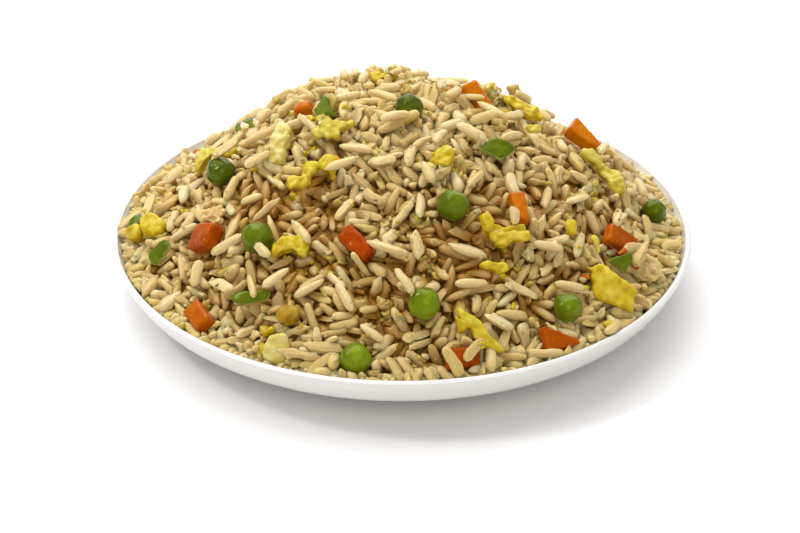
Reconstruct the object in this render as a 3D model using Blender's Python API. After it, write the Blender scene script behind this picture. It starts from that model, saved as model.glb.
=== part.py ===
"""A heaped plate of fried rice: a white coupe plate, its heap of rice, and the toppings let into the heap.

Lengths are in millimetres up to the meshes, which are in metres, +Z up. The origin is the middle of
the plate's foot, on the surface that it stands on. The plate is turned about Z. The heap is one
solid out to its uneven outline. Each pea, carrot die, slice of pepper, egg curd and kernel of corn
is a solid of its own, laid on the heap's surface and sunk in it with a small gap all round.
"""

import math

import bmesh
import bpy
from mathutils import Matrix, Vector, noise

MM = 0.001
AXIS_REACH = 0.3  # a ring smaller than this is one point on the axis
TURN_SIDES = 48  # facets round the plate and the heap

# The plate: a shallow turned dish with a short steep wall and a foot ring
PLATE_RADIUS = 85.0
PLATE_HEIGHT = 18.0
LIP_THICKNESS = 1.9
FOOT_RADIUS = 50.0
FOOT_WIDTH = 2.6
FOOT_SLOPE = 1.0  # how far the recess draws in over its depth
FOOT_RECESS = 2.2
FOOT_SHOULDER = (1.0, 2.8)  # where the outer side meets the foot: out from it, and up
OUTER_SIDE = ((5.0, 9.0), (17.0, 5.2))  # in from the rim, and up
INNER_SIDE = ((4.6, 13.0), (10.0, 9.2), (25.0, 6.4))  # in from the rim, and up
FLOOR_HEIGHT = 5.6  # at the middle
CURVE_STEPS = 2  # facets between two of those points

# The heap: a dome that reaches the plate's wall all round, with broad lumps and hollows
HEAP_RADIUS = 82.0
HEAP_RINGS = 9
HEAP_RISE = 40.6  # from its edge to its top, without the lumps
HEAP_SHARPNESS = 1.9  # 2 is a parabola, less is more pointed
RICE_BELOW_LIP = 2.2
RICE_GAP = 0.6  # between the rice and the plate
LUMP_SPREAD = 12.5
LUMPS = (  # plan x, plan y, height
    (-48, 30, -3.5),
    (-33, 38, 4.5),
    (-17, 44, 2.0),
    (0, 46, 2.0),
    (17, 44, -2.5),
    (33, 38, 3.5),
    (48, 30, -2.5),
    (62, 22, 5.0),
    (-40, -25, 1.5),
    (-15, -45, -1.5),
    (20, -30, 1.5),
    (45, -40, -1.5),
    (5, -5, -1.0),
    (-60, -15, -1.0),
)
RUFFLE = 0.8  # depth of the finer unevenness
RUFFLE_SIZE = 9.0

# How the toppings are shaped
PEA_FACETS = (10, 6)  # round, and from top to bottom
PEA_DIMPLE = 0.10  # of its radius
PEA_FLATNESS = 0.94
CUT_EDGE = 0.16  # how much a knife-cut edge is rounded, of the block's smaller side
CURD_FACETS = (9, 6)
CURD_UNEVENNESS = 0.28
CURD_LUMPS = 1.5  # lumps over a curd's half width
PLACE_GROWTH = 0.42  # how far a piece's corners move out to make its place in the rice

# Toppings: plan x, plan y, then the sizes and angles that each kind's function names.
# proud is how far a piece's middle stands over the heap's surface.
PEAS = (  # x, y, diameter, turn, proud
    (-52, -6, 8.8, 120, 0.6),
    (-39.5, -41, 9.8, 60, 0.6),
    (2, -1, 8.8, 200, 1.2),
    (14, -39, 9.6, 80, 0.5),
    (6, -65, 9.2, 280, 0.6),
    (45, -57, 8.6, 230, 0.4),
    (-12.5, -76, 9.2, 95, -1.4),
    (73.5, -2, 8.0, 150, 0.6),
    (-77.5, -3, 7.2, 20, -0.6),
)
CARROTS = (  # x, y, heading, length, width, thickness, taper, skew, lift, roll, proud
    (-28, 9, -20, 5.0, 4.4, 4.0, 0.9, 0.1, 0, 10, 1.0),
    (21.5, 11, -38, 10.5, 5.6, 4.6, 0.95, 0.0, -34, 25, 1.4),
    (54, 15, -12, 12.5, 6.0, 4.6, 0.4, -0.2, -10, 25, 1.4),
    (-55, -32, -34, 8.6, 8.4, 5.0, 0.85, 0.15, 10, 8, 0.2),
    (-12, -48.5, -52, 10.6, 5.6, 5.0, 0.9, -0.1, -6, 10, -0.2),
    (32.5, -34, -67, 9.6, 4.6, 4.2, 0.6, 0.1, 0, 12, -0.2),
    (61.5, -28, -6, 10.6, 6.6, 3.6, 0.8, 0.15, -8, 14, 0.4),
    (42.5, -65, 20, 9.8, 7.4, 4.0, 0.2, -0.3, 0, 8, 0.0),
    (-56, -54, -70, 9.2, 5.8, 4.2, 0.9, 0.0, 6, 0, -0.8),
    (16.3, -76, 3, 9.2, 6.0, 4.0, 0.9, 0.2, 0, 0, -1.2),
)
PEPPERS = (  # x, y, heading, length, width, thickness, curl, point, lift, roll, proud
    (-22, 2, -35, 8.0, 7.2, 1.8, 30, 0.5, -10, 40, 1.8),
    (-47, 27, -10, 5.6, 5.0, 1.8, 80, 0.1, 0, 30, 0.8),
    (26, -16, 16, 10.8, 6.8, 1.6, 20, 0.7, 0, 20, 0.9),
    (-68, -27, 40, 8.6, 7.6, 1.6, 80, 0.5, 0, 20, 0.8),
    (-41, -56, -10, 11.0, 5.6, 1.8, 60, 0.4, 0, 8, 0.7),
    (60.5, -36, 45, 8.0, 6.0, 1.6, 30, 0.6, 10, 14, 0.8),
)
CURDS = (  # x, y, heading, length, width, thickness, boxiness, bow, lift, roll, proud
    (-34, -9, 84, 13.0, 6.6, 4.6, 2.2, 0.04, 0, 0, 0.7),
    (-20, -9.5, 8, 12.6, 7.0, 4.4, 2.2, -0.03, 4, 20, 0.8),
    (-22, -24.5, -20, 11.0, 7.4, 4.8, 2.4, 0.02, 0, 12, 0.4),
    (-29, -27.5, -20, 6.4, 5.2, 4.0, 2.2, 0.0, 0, 0, 0.0),
    (11.5, -23.5, 20, 6.8, 6.6, 5.2, 2.4, 0.02, 0, 10, 0.5),
    (36, 19, -20, 11.6, 5.2, 4.2, 2.2, 0.02, -6, 20, 1.2),
    (58.5, 1, -48, 15.0, 6.4, 4.2, 2.4, 0.02, -4, 18, 0.9),
    (-73, -11.5, -38, 12.6, 6.6, 5.2, 2.2, -0.02, 6, 10, 0.0),
    (-31, -45.5, 8, 10.4, 5.6, 4.8, 2.2, 0.03, 0, 8, 0.2),
    (28, -43, 2, 13.4, 7.4, 4.4, 2.6, 0.02, 0, 10, 0.5),
    (21.2, -69, -26, 15.0, 5.6, 3.6, 2.6, 0.02, 0, 16, 0.4),
    (58.5, -45.5, -24, 14.4, 9.2, 4.2, 3.6, 0.01, 0, 14, 0.9),
    (-34, -70, -15, 7.4, 7.2, 4.8, 2.8, 0.0, 0, 10, -0.6),
    (-54.5, 6, -24, 14.0, 5.6, 4.4, 2.2, 0.03, 0, 20, 1.4),
    (-5, 26, 15, 9.6, 5.0, 4.6, 2.2, 0.02, 0, 20, 1.4),
    (25, -53.5, 5, 7.4, 3.4, 3.0, 2.4, 0.02, 0, 0, 0.2),
)
CORN = (  # x, y, heading, length, width, thickness, boxiness, bow, lift, roll, proud
    (-30.5, -63.5, 10, 6.4, 5.4, 4.4, 3.0, 0.0, 0, 0, 0.0),
)


def clear_scene():
    """Start from an empty scene."""
    for old in list(bpy.data.objects):
        bpy.data.objects.remove(old)


def food_material(name, colour, roughness):
    """One plain material, its colour as linear red, green and blue."""
    made = bpy.data.materials.new(name)
    made.use_nodes = True
    shader = made.node_tree.nodes["Principled BSDF"]
    shader.inputs["Base Color"].default_value = (*colour, 1.0)
    shader.inputs["Roughness"].default_value = roughness
    shader.inputs["Metallic"].default_value = 0.0
    return made


def add_object(name, mesh_builder, material, place=None):
    """Turn a bmesh into a named object of triangles, smooth where its faces nearly agree."""
    mesh = bpy.data.meshes.new(name)
    bmesh.ops.recalc_face_normals(mesh_builder, faces=mesh_builder.faces)
    bmesh.ops.triangulate(mesh_builder, faces=mesh_builder.faces)
    mesh_builder.to_mesh(mesh)
    mesh_builder.free()
    mesh.shade_smooth()
    mesh.set_sharp_from_angle(angle=math.radians(40))
    made = bpy.data.objects.new(name, mesh)
    bpy.context.scene.collection.objects.link(made)
    mesh.materials.append(material)
    if place is not None:
        made.matrix_world = place
    return made


def on_curve(before, start, end, after, share):
    """A value between start and end on the smooth curve through all four."""
    slope = end - before
    bend = 2 * before - 5 * start + 4 * end - after
    twist = 3 * start - before - 3 * end + after
    return start + (slope * share + bend * share**2 + twist * share**3) / 2


def smooth_line(points, steps):
    """Points of (radius, height) on one smooth curve through the given ones."""
    ends = [points[0], *points, points[-1]]
    line = []
    for four in zip(ends, ends[1:], ends[2:], ends[3:]):
        for step in range(steps):
            line.append(tuple(on_curve(*values, step / steps) for values in zip(*four)))
    return line + [points[-1]]


def plate_outside():
    """The plate's outer side from under its lip down to the foot ring."""
    top = PLATE_HEIGHT - LIP_THICKNESS / 2
    side = [(PLATE_RADIUS - inward, height) for inward, height in OUTER_SIDE]
    shoulder = (FOOT_RADIUS + FOOT_SHOULDER[0], FOOT_SHOULDER[1])
    return smooth_line([(PLATE_RADIUS, top), *side, shoulder], CURVE_STEPS)


def plate_inside(steps=CURVE_STEPS):
    """The plate's inner side from its lip down to the middle of its floor."""
    top = PLATE_HEIGHT - LIP_THICKNESS / 2
    side = [(PLATE_RADIUS - inward, height) for inward, height in INNER_SIDE]
    return smooth_line([(PLATE_RADIUS - LIP_THICKNESS, top), *side, (0.0, FLOOR_HEIGHT)], steps)


def lip_arc(steps=4):
    """The round edge of the lip, from its inner side over the top to its outer side."""
    radius = LIP_THICKNESS / 2
    middle = PLATE_RADIUS - radius
    return [
        (middle - radius * math.cos(turn), PLATE_HEIGHT - radius + radius * math.sin(turn))
        for turn in (math.pi * step / steps for step in range(1, steps))
    ]


def turned(profile):
    """Spin a closed (radius, height) profile about Z; both its ends lie on the axis."""
    solid = bmesh.new()
    rings = []
    for radius, height in profile:
        if radius < AXIS_REACH:
            rings.append([solid.verts.new((0, 0, height * MM))] * TURN_SIDES)
            continue
        angles = (2 * math.pi * side / TURN_SIDES for side in range(TURN_SIDES))
        rings.append(
            [
                solid.verts.new((radius * math.cos(a) * MM, radius * math.sin(a) * MM, height * MM))
                for a in angles
            ]
        )
    join_rings(solid, rings)
    return solid


def join_rings(solid, rings):
    """Faces between neighbouring rings; a ring that is one point closes in a fan."""
    for upper, lower in zip(rings, rings[1:]):
        for side in range(TURN_SIDES):
            after = (side + 1) % TURN_SIDES
            corners = dict.fromkeys((upper[side], upper[after], lower[after], lower[side]))
            solid.faces.new(list(corners))


def make_plate(material):
    """The dish: floor, wall, lip, outer side, foot ring and the recess under it."""
    foot_inner = FOOT_RADIUS - FOOT_WIDTH
    under = [
        (FOOT_RADIUS, 0.0),
        (foot_inner, 0.0),
        (foot_inner - FOOT_SLOPE, FOOT_RECESS),
        (0.0, FOOT_RECESS),
    ]
    profile = plate_inside()[::-1] + lip_arc() + plate_outside() + under
    return add_object("plate", turned(profile), material)


def heap_top(x, y):
    """Height of the rice at a plan point."""
    out = min(math.hypot(x, y) / HEAP_RADIUS, 1.0)
    inner = 1 - out**2
    height = PLATE_HEIGHT - RICE_BELOW_LIP + HEAP_RISE * (1 - out**HEAP_SHARPNESS)
    for lump_x, lump_y, lump in LUMPS:
        away = math.hypot(x - lump_x, y - lump_y) / LUMP_SPREAD
        height += lump * math.exp(-(away**2)) * inner
    ruffle = noise.noise(Vector((x, y, 0)) / RUFFLE_SIZE)
    return height + RUFFLE * ruffle * inner**0.5


def heap_up(x, y, step=2.0):
    """The direction square to the heap's surface."""
    slope_x = (heap_top(x + step, y) - heap_top(x - step, y)) / (2 * step)
    slope_y = (heap_top(x, y + step) - heap_top(x, y - step)) / (2 * step)
    return Vector((-slope_x, -slope_y, 1)).normalized()


def make_heap(material):
    """The rice: the dome above, and below it the plate's inner side with a gap."""
    solid = bmesh.new()
    rings = [[solid.verts.new((0, 0, heap_top(0, 0) * MM))] * TURN_SIDES]
    for ring in range(1, HEAP_RINGS + 1):
        radius = HEAP_RADIUS * ring / HEAP_RINGS
        places = (
            (radius * math.cos(a), radius * math.sin(a))
            for a in (2 * math.pi * side / TURN_SIDES for side in range(TURN_SIDES))
        )
        rings.append([solid.verts.new((x * MM, y * MM, heap_top(x, y) * MM)) for x, y in places])
    dish = plate_inside(1)
    for before, here, after in zip(dish, dish[1:], dish[2:]):
        square = Vector((before[1] - after[1], before[0] - after[0])).normalized() * RICE_GAP
        radius = here[0] - square.x
        height = here[1] + square.y
        rings.append(
            [
                solid.verts.new((radius * math.cos(a) * MM, radius * math.sin(a) * MM, height * MM))
                for a in (2 * math.pi * side / TURN_SIDES for side in range(TURN_SIDES))
            ]
        )
    rings.append([solid.verts.new((0, 0, (dish[-1][1] + RICE_GAP) * MM))] * TURN_SIDES)
    join_rings(solid, rings)
    return add_object("rice_heap", solid, material)


def seat(x, y, heading, lift, roll, proud):
    """Lay a piece on the heap: its length along heading, its thickness square to the surface.

    lift raises its far end and roll turns it about its length, both in degrees.
    """
    up = heap_up(x, y)
    along = Vector((math.cos(math.radians(heading)), math.sin(math.radians(heading)), 0))
    along = (along - up * along.dot(up)).normalized()
    turn = Matrix((along, up.cross(along), up)).transposed().to_4x4()
    middle = Vector((x, y, heap_top(x, y))) + up * proud
    tip = Matrix.Rotation(math.radians(-lift), 4, "Y") @ Matrix.Rotation(math.radians(roll), 4, "X")
    return Matrix.Translation(middle * MM) @ turn @ tip


def pea(diameter):
    """A round pea, a little flattened, with the shallow dimple where it hung in its pod."""
    solid = bmesh.new()
    around, down = PEA_FACETS
    bmesh.ops.create_uvsphere(solid, u_segments=around, v_segments=down, radius=diameter / 2 * MM)
    for vertex in solid.verts:
        toward_dimple = max(vertex.co.normalized().x, 0.0)
        vertex.co *= 1 - PEA_DIMPLE * toward_dimple**6
        vertex.co.z *= PEA_FLATNESS
    return solid


def cut_block(length, width, thickness, taper, skew):
    """A knife-cut block: its far end is taper times as wide and shifted aside by skew widths."""
    solid = bmesh.new()
    bmesh.ops.create_cube(solid, size=1.0)
    for vertex in solid.verts:
        far = vertex.co.x > 0
        vertex.co.y = vertex.co.y * (taper if far else 1.0) + (skew if far else 0.0)
        vertex.co.x *= length * MM
        vertex.co.y *= width * MM
        vertex.co.z *= thickness * MM
    round_off = CUT_EDGE * min(width * taper, thickness) * MM
    bmesh.ops.bevel(
        solid, geom=list(solid.edges), offset=round_off, segments=1, profile=0.5, affect="EDGES"
    )
    return solid


def bent_slice(length, width, thickness, curl, point, columns=5, rows=2):
    """A slice of skin: curl degrees of bow across it, its ends drawn in by point."""
    solid = bmesh.new()
    bow = width / math.radians(curl)
    sides = []
    for face in (0.5, -0.5):
        sheet = []
        for column in range(columns + 1):
            along = 2 * column / columns - 1
            half = 0.5 * (1 - point * along**4)
            line = []
            for row in range(rows + 1):
                across = (2 * row / rows - 1) * half
                turn = across * math.radians(curl)
                reach = bow + face * thickness
                spot = (length / 2 * along, reach * math.sin(turn), reach * math.cos(turn) - bow)
                line.append(solid.verts.new(Vector(spot) * MM))
            sheet.append(line)
        sides.append(sheet)
    top, bottom = sides
    for sheet in sides:
        for column in range(columns):
            for row in range(rows):
                near, far = sheet[column], sheet[column + 1]
                solid.faces.new((near[row], far[row], far[row + 1], near[row + 1]))
    for row in range(rows):
        for end in (0, columns):
            solid.faces.new((top[end][row], top[end][row + 1], bottom[end][row + 1], bottom[end][row]))
    for column in range(columns):
        for edge in (0, rows):
            solid.faces.new(
                (top[column][edge], top[column + 1][edge], bottom[column + 1][edge], bottom[column][edge])
            )
    return solid


def curd(length, width, thickness, boxiness, bow, seed):
    """A lump of scrambled egg: a rounded box, uneven all over, bowed along its length."""
    solid = bmesh.new()
    around, down = CURD_FACETS
    bmesh.ops.create_uvsphere(solid, u_segments=around, v_segments=down, radius=1.0)
    half = Vector((length, width, thickness)) / 2
    for vertex in solid.verts:
        facing = vertex.co.normalized()
        reach = sum(abs(part) ** boxiness for part in facing) ** (-1 / boxiness)
        uneven = noise.noise(facing * CURD_LUMPS + Vector((seed, 3 * seed, 0)))
        spot = facing * reach * (1 + CURD_UNEVENNESS * uneven)
        spot = Vector((spot.x * half.x, spot.y * half.y, spot.z * half.z))
        spot.z -= bow * spot.x**2
        vertex.co = spot * MM
    return solid


def let_in(heap, piece):
    """Cut a piece's place out of the heap with a cutter that is the piece and a gap all round."""
    grown = piece.data.copy()
    grown.name = piece.name + "_place"
    for vertex, facing in zip(grown.vertices, [n.vector.copy() for n in piece.data.vertex_normals]):
        vertex.co += facing * PLACE_GROWTH * MM
    cutter = bpy.data.objects.new(grown.name, grown)
    bpy.context.scene.collection.objects.link(cutter)
    cutter.matrix_world = piece.matrix_world
    cutter.hide_render = True
    cutter.display_type = "WIRE"
    cut = heap.modifiers.new(grown.name, "BOOLEAN")
    cut.operation = "DIFFERENCE"
    cut.solver = "EXACT"
    cut.object = cutter


def make_toppings():
    """Every topping, each a solid of its own, in the order of the tables."""
    pea_green = food_material("pea_green", (0.10, 0.22, 0.01), 0.35)
    carrot_orange = food_material("carrot_orange", (0.72, 0.14, 0.01), 0.5)
    pepper_green = food_material("pepper_green", (0.07, 0.18, 0.01), 0.4)
    egg_yellow = food_material("egg_yellow", (0.80, 0.60, 0.06), 0.5)
    corn_yellow = food_material("corn_yellow", (0.70, 0.42, 0.04), 0.4)
    made = []
    for count, (x, y, diameter, turn, proud) in enumerate(PEAS, 1):
        place = seat(x, y, turn, 0, 0, proud)
        made.append(add_object(f"pea_{count}", pea(diameter), pea_green, place))
    for count, (x, y, heading, *sizes, lift, roll, proud) in enumerate(CARROTS, 1):
        place = seat(x, y, heading, lift, roll, proud)
        made.append(add_object(f"carrot_{count}", cut_block(*sizes), carrot_orange, place))
    for count, (x, y, heading, *sizes, lift, roll, proud) in enumerate(PEPPERS, 1):
        place = seat(x, y, heading, lift, roll, proud)
        made.append(add_object(f"pepper_{count}", bent_slice(*sizes), pepper_green, place))
    for count, (x, y, heading, *sizes, lift, roll, proud) in enumerate(CURDS, 1):
        place = seat(x, y, heading, lift, roll, proud)
        made.append(add_object(f"egg_{count}", curd(*sizes, count), egg_yellow, place))
    for count, (x, y, heading, *sizes, lift, roll, proud) in enumerate(CORN, 1):
        place = seat(x, y, heading, lift, roll, proud)
        made.append(add_object(f"corn_{count}", curd(*sizes, -count), corn_yellow, place))
    return made


def main():
    clear_scene()
    make_plate(food_material("plate_white", (0.85, 0.84, 0.82), 0.15))
    heap = make_heap(food_material("rice_tan", (0.60, 0.46, 0.26), 0.55))
    for piece in make_toppings():
        let_in(heap, piece)


main()
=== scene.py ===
"""The looks of a heaped plate of fried rice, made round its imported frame.

The rice is packed grain by grain over a smaller core: each grain is a short rod that is pressed
down on the core and pushed clear of its neighbours, the toppings and the plate's wall. Lengths
are in millimetres until a mesh is written, which is in metres.
"""

import math

import bmesh
import bpy
import numpy as np
from mathutils import Matrix, Vector, noise
from mathutils.bvhtree import BVHTree


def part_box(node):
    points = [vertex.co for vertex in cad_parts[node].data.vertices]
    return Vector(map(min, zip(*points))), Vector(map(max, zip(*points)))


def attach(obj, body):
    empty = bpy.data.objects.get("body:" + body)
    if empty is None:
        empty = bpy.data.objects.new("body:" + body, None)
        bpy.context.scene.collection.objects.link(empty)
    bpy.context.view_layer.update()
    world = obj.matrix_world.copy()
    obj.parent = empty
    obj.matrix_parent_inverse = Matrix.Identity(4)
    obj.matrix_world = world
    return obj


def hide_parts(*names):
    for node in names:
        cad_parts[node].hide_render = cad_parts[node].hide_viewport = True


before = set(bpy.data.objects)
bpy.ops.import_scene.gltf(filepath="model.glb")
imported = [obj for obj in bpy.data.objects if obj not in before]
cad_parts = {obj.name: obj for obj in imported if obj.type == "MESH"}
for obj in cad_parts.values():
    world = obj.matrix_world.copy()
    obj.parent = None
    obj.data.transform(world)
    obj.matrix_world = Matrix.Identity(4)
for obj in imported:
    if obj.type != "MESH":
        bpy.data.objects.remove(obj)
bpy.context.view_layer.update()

MM = 0.001
SEED = 11
BODY = "root"

# Rice
GRAIN_COUNT = 4050
GRAIN_LENGTH = (8.3, 1.3)  # mean and spread
GRAIN_LENGTH_LIMITS = (5.2, 11.2)
GRAIN_WIDTH = (2.85, 0.28)
GRAIN_WIDTH_LIMITS = (2.2, 3.6)
GRAIN_FLATNESS = (0.70, 0.94)  # a grain's thickness, of its width
SHORTEST_HALF = 0.05  # from a grain's middle to the middle of its round end
BROKEN_LENGTH = (0.42, 0.75)  # what is left of a broken grain
BROKEN_SHARE = 0.30
SPLIT_SHARE = 0.22
PALE_SHARE = 0.12
STAINED_SHARE = 0.09  # yellowed by egg
BROWNED_TONE, PALE_TONE = (0.50, 0.14), (0.86, 0.08)  # mean and spread; 0 is browned, 1 is pale
STAINED_TONE, LOWEST_TONE = 0.04, 0.2
PALE_FROM = 0.55  # the tone from which a whole grain belongs with the pale ones
THINNED_SHARE = 0.05  # of the top grains, missing so that the heap has open pockets
THINNED_DEPTH = 2.5  # how far under the skin a grain still counts as a top one
RICE_DEPTH = 9.6  # of loose grains over the core
RIM_DROP = 1.3  # how much lower the rice lies at the rim than the heap's outline
CORE_EDGE = 79.6  # radius of the core, where it meets the plate
RISE, RISE_LIMIT = 1.2, 3.2  # how far loose grains stand out of the heap's skin, on average and at most
CLOSENESS = 0.41  # how near two grains' middles may come, of their widths
ROLL_SPREAD = 0.7  # radians that a grain's flat side is turned away from lying face up
UPRIGHT_SINK = 0.75  # how much deeper a standing grain sits than a lying one, of its half height
CROWN_MIDDLE = (3.0, 14.0)
CROWN_CROWDING = 0.35  # how many more grains lie on its top, so that they reach the skin there
CROWN_LIFT = 3.2  # how much the top of the heap stands above its plain shape
SCATTER_REACH = 81.0  # how far out grains are dropped in
MOST_CROWDED = 2.2  # the densest that dropped grains may lie, of the thinnest
SETTLE_STEPS = 100
SETTLE_PULL = 0.26  # how far the first settling step draws each grain in
SINK_RATE = 0.12  # of its rise over the skin, that a grain is drawn in by at each settling step
WALL_GAP = 0.2  # between the grains and the plate's wall
END_SHARE = 0.25  # of a push on one end of a grain, that its other end feels too
SHARE_POWER = 0.75  # how far several pushes on one end are averaged: 0 adds them up, 1 averages them
NEIGHBOUR_STEPS = 10  # settling steps between two searches for neighbours
NEIGHBOUR_SLACK = 0.8  # how far apart two grains may be and still meet before the next search
NEIGHBOUR_BLOCK = 400  # grains compared with all others at a time
SEATING_STEP, SEATING_STEPS = 0.15, 40  # to lower a grain laid on top until it touches
SEATING_REACH = 14.0  # how far away a grain may lie that it could touch

# Where the heap's surface is read from the frame, and the unevenness of loose rice on it
GRID_STEP = 1.5
GRID_REACH = 84.0
SKY = 100.0  # a height over everything, to look down from
RIM_BELOW_LIP = 2.5  # the most that the heap's rim lies under the plate's lip
RIM_START, RIM_WIDTH = 68, 14  # where the heap starts to level out to its rim, and over what width
BROAD_LUMPS, FINE_LUMPS = (8.5, 3.2), (3.6, 1.0)  # width and height of the skin's rises and dips
CROWN_WIDTH, CROWN_LEVEL = 34, 1.6

TOPPING_KINDS = ("pea", "carrot", "pepper", "egg", "corn")
PALE_CURDS = ("egg_13", "egg_1")
LIGHT_CURDS = ("egg_2", "egg_7", "egg_14")
SMOOTH_CURDS = ("egg_8", "egg_11", "egg_12", "egg_13")
BRIGHT_PEAS = {  # how bright a green
    "pea_2": 0.25,
    "pea_4": 0.35,
    "pea_5": 1.0,
    "pea_6": 0.85,
    "pea_7": 0.9,
}
PLAIN_PEA, PLAIN_CARROT = 0.1, 0.4  # the same, for those not named
BRIGHT_CARROTS = {  # how light an orange
    "carrot_1": 0.75,
    "carrot_2": 1.0,
    "carrot_3": 0.9,
    "carrot_4": 0.2,
    "carrot_5": 0.0,
    "carrot_6": 0.85,
    "carrot_8": 0.3,
    "carrot_9": 0.45,
    "carrot_10": 0.1,
}
COVERED = ("carrot_1", "carrot_2", "carrot_4", "carrot_5", "carrot_9", "carrot_10", "pea_7", "pepper_5")
EDGE_LAP = 1.1  # how far a grain's flank may reach in over a topping's edge
COVERED_LAP, EGG_LAP, CHIP_LAP, MASH_LAP = 0.4, 0.3, 0.35, 0.7  # how much of each grains may lie over


# ---------------------------------------------------------------- reading the frame


def search_tree(meshes):
    """A search tree of meshes' faces, in millimetres."""
    points = []
    faces = []
    for mesh in meshes:
        first = len(points)
        points.extend(vertex.co / MM for vertex in mesh.vertices)
        faces.extend([first + corner for corner in face.vertices] for face in mesh.polygons)
    return BVHTree.FromPolygons(points, faces)


def cad_tree(*names):
    return search_tree([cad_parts[name].data for name in names])


def toppings():
    """The names of the CAD nodes that lie in the rice."""
    return [name for name in sorted(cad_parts) if name.split("_")[0] in TOPPING_KINDS]


class Ground:
    """The heap's outside and the plate's inside, as heights over the plan."""

    def __init__(self):
        steps = int(2 * GRID_REACH / GRID_STEP) + 1
        self.axis = np.linspace(-GRID_REACH, GRID_REACH, steps)
        self.step = self.axis[1] - self.axis[0]
        heap = cad_tree("rice_heap")
        pieces = cad_tree(*toppings())
        self.rim_radius = np.array(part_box("rice_heap")[1])[0] / MM
        height = np.full((steps, steps), np.nan)
        covered = np.zeros((steps, steps), bool)
        for row, y in enumerate(self.axis):
            for column, x in enumerate(self.axis):
                above = Vector((x, y, SKY))
                hit = heap.ray_cast(above, Vector((0, 0, -1)))[0]
                if hit is not None:
                    height[row, column] = hit.z
                    covered[row, column] = pieces.ray_cast(above, Vector((0, 0, -1)))[0] is not None
        self.read_plate()
        edge = np.hypot(*np.meshgrid(self.axis, self.axis)) > self.rim_radius - self.step
        wide = covered.copy()
        for shift in (-1, 1):
            wide |= np.roll(covered, shift, 0) | np.roll(covered, shift, 1)
        unknown = wide & ~edge
        rim_height = np.nanmin(height)
        height[np.isnan(height)] = max(rim_height, self.lip_height - RIM_BELOW_LIP)
        height = fill_in(height, unknown)
        across, along = np.meshgrid(self.axis, self.axis)
        near_rim = np.clip((np.hypot(across, along) - RIM_START) / RIM_WIDTH, 0, 1)
        self.height_grid = height - RIM_DROP * near_rim**2 * (3 - 2 * near_rim)
        self.slope_grids = np.gradient(self.height_grid, self.step)
        lumps = [
            sum(noise.noise(Vector(spot) / width) * high for width, high in (BROAD_LUMPS, FINE_LUMPS))
            for spot in zip(across.ravel(), along.ravel(), height.ravel())
        ]
        from_crown = np.hypot(across - CROWN_MIDDLE[0], along - CROWN_MIDDLE[1])
        self.crown_grid = np.clip(CROWN_LEVEL - from_crown / CROWN_WIDTH, 0, 1)
        self.skin_grid = self.height_grid + np.reshape(lumps, height.shape) * (1 - near_rim)
        self.skin_grid += self.crown_grid * CROWN_LIFT

    def read_plate(self):
        """The plate's inner side: its height at each radius, and its radius at each height."""
        plate = cad_tree("plate")
        high = np.array(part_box("plate")[1]) / MM
        self.lip_height = high[2]
        self.plate_radius = high[0]
        self.radii = np.arange(0.5, self.plate_radius - 0.5, 0.5)
        hits = [plate.ray_cast(Vector((r, 0.01, SKY)), Vector((0, 0, -1)))[0] for r in self.radii]
        self.inside = np.array([hit.z for hit in hits])
        top = int(np.argmax(self.inside))
        self.wall_radii = self.radii[: top + 1]
        self.wall_heights = np.maximum.accumulate(self.inside[: top + 1])

    def sample(self, grid, x, y):
        """A grid's value at plan points, between its four nearest entries."""
        column = np.clip((x - self.axis[0]) / self.step, 0, len(self.axis) - 1.001)
        row = np.clip((y - self.axis[0]) / self.step, 0, len(self.axis) - 1.001)
        left = column.astype(int)
        near = row.astype(int)
        across = column - left
        along = row - near
        return (
            grid[near, left] * (1 - across) * (1 - along)
            + grid[near, left + 1] * across * (1 - along)
            + grid[near + 1, left] * (1 - across) * along
            + grid[near + 1, left + 1] * across * along
        )

    def height(self, x, y):
        return self.sample(self.height_grid, x, y)

    def skin(self, x, y):
        """The heap's outside with the small rises and dips of loose rice."""
        return self.sample(self.skin_grid, x, y)

    def up(self, x, y):
        """Unit vectors square to the heap's outside."""
        slope_y, slope_x = (self.sample(grid, x, y) for grid in self.slope_grids)
        facing = np.stack([-slope_x, -slope_y, np.ones_like(slope_x)], -1)
        return facing / np.linalg.norm(facing, axis=-1, keepdims=True)

    def dish(self, radius):
        """Height of the plate's inner side at a radius."""
        return np.interp(radius, self.wall_radii, self.wall_heights)

    def floor(self, x, y):
        """What the loose grains lie on: the core, or the plate near its rim."""
        return np.maximum(self.skin(x, y) - RICE_DEPTH, self.dish(np.hypot(x, y)) + 0.5)

    def wall(self, height):
        """How far out a point at this height may go before it meets the plate's wall."""
        return np.interp(height, self.wall_heights, self.wall_radii)


def fill_in(height, unknown, rounds=240):
    """Stretch a smooth skin over the unknown cells of a grid."""
    height = height.copy()
    height[unknown] = height[~unknown].mean()
    for _ in range(rounds):
        spread = sum(np.roll(height, shift, axis) for shift in (-1, 1) for axis in (0, 1)) / 4
        height[unknown] = spread[unknown]
    return height


# ---------------------------------------------------------------- packing the rice


BODY_DIRECTIONS, COLUMN_DIRECTIONS = 170, 60  # that a topping's shape and its column are held by
BODY_SLACK = 0.25  # how far grains may press into a topping
REACH_PAST = 6.0  # beyond a topping's corners, where grains aren't looked at


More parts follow.
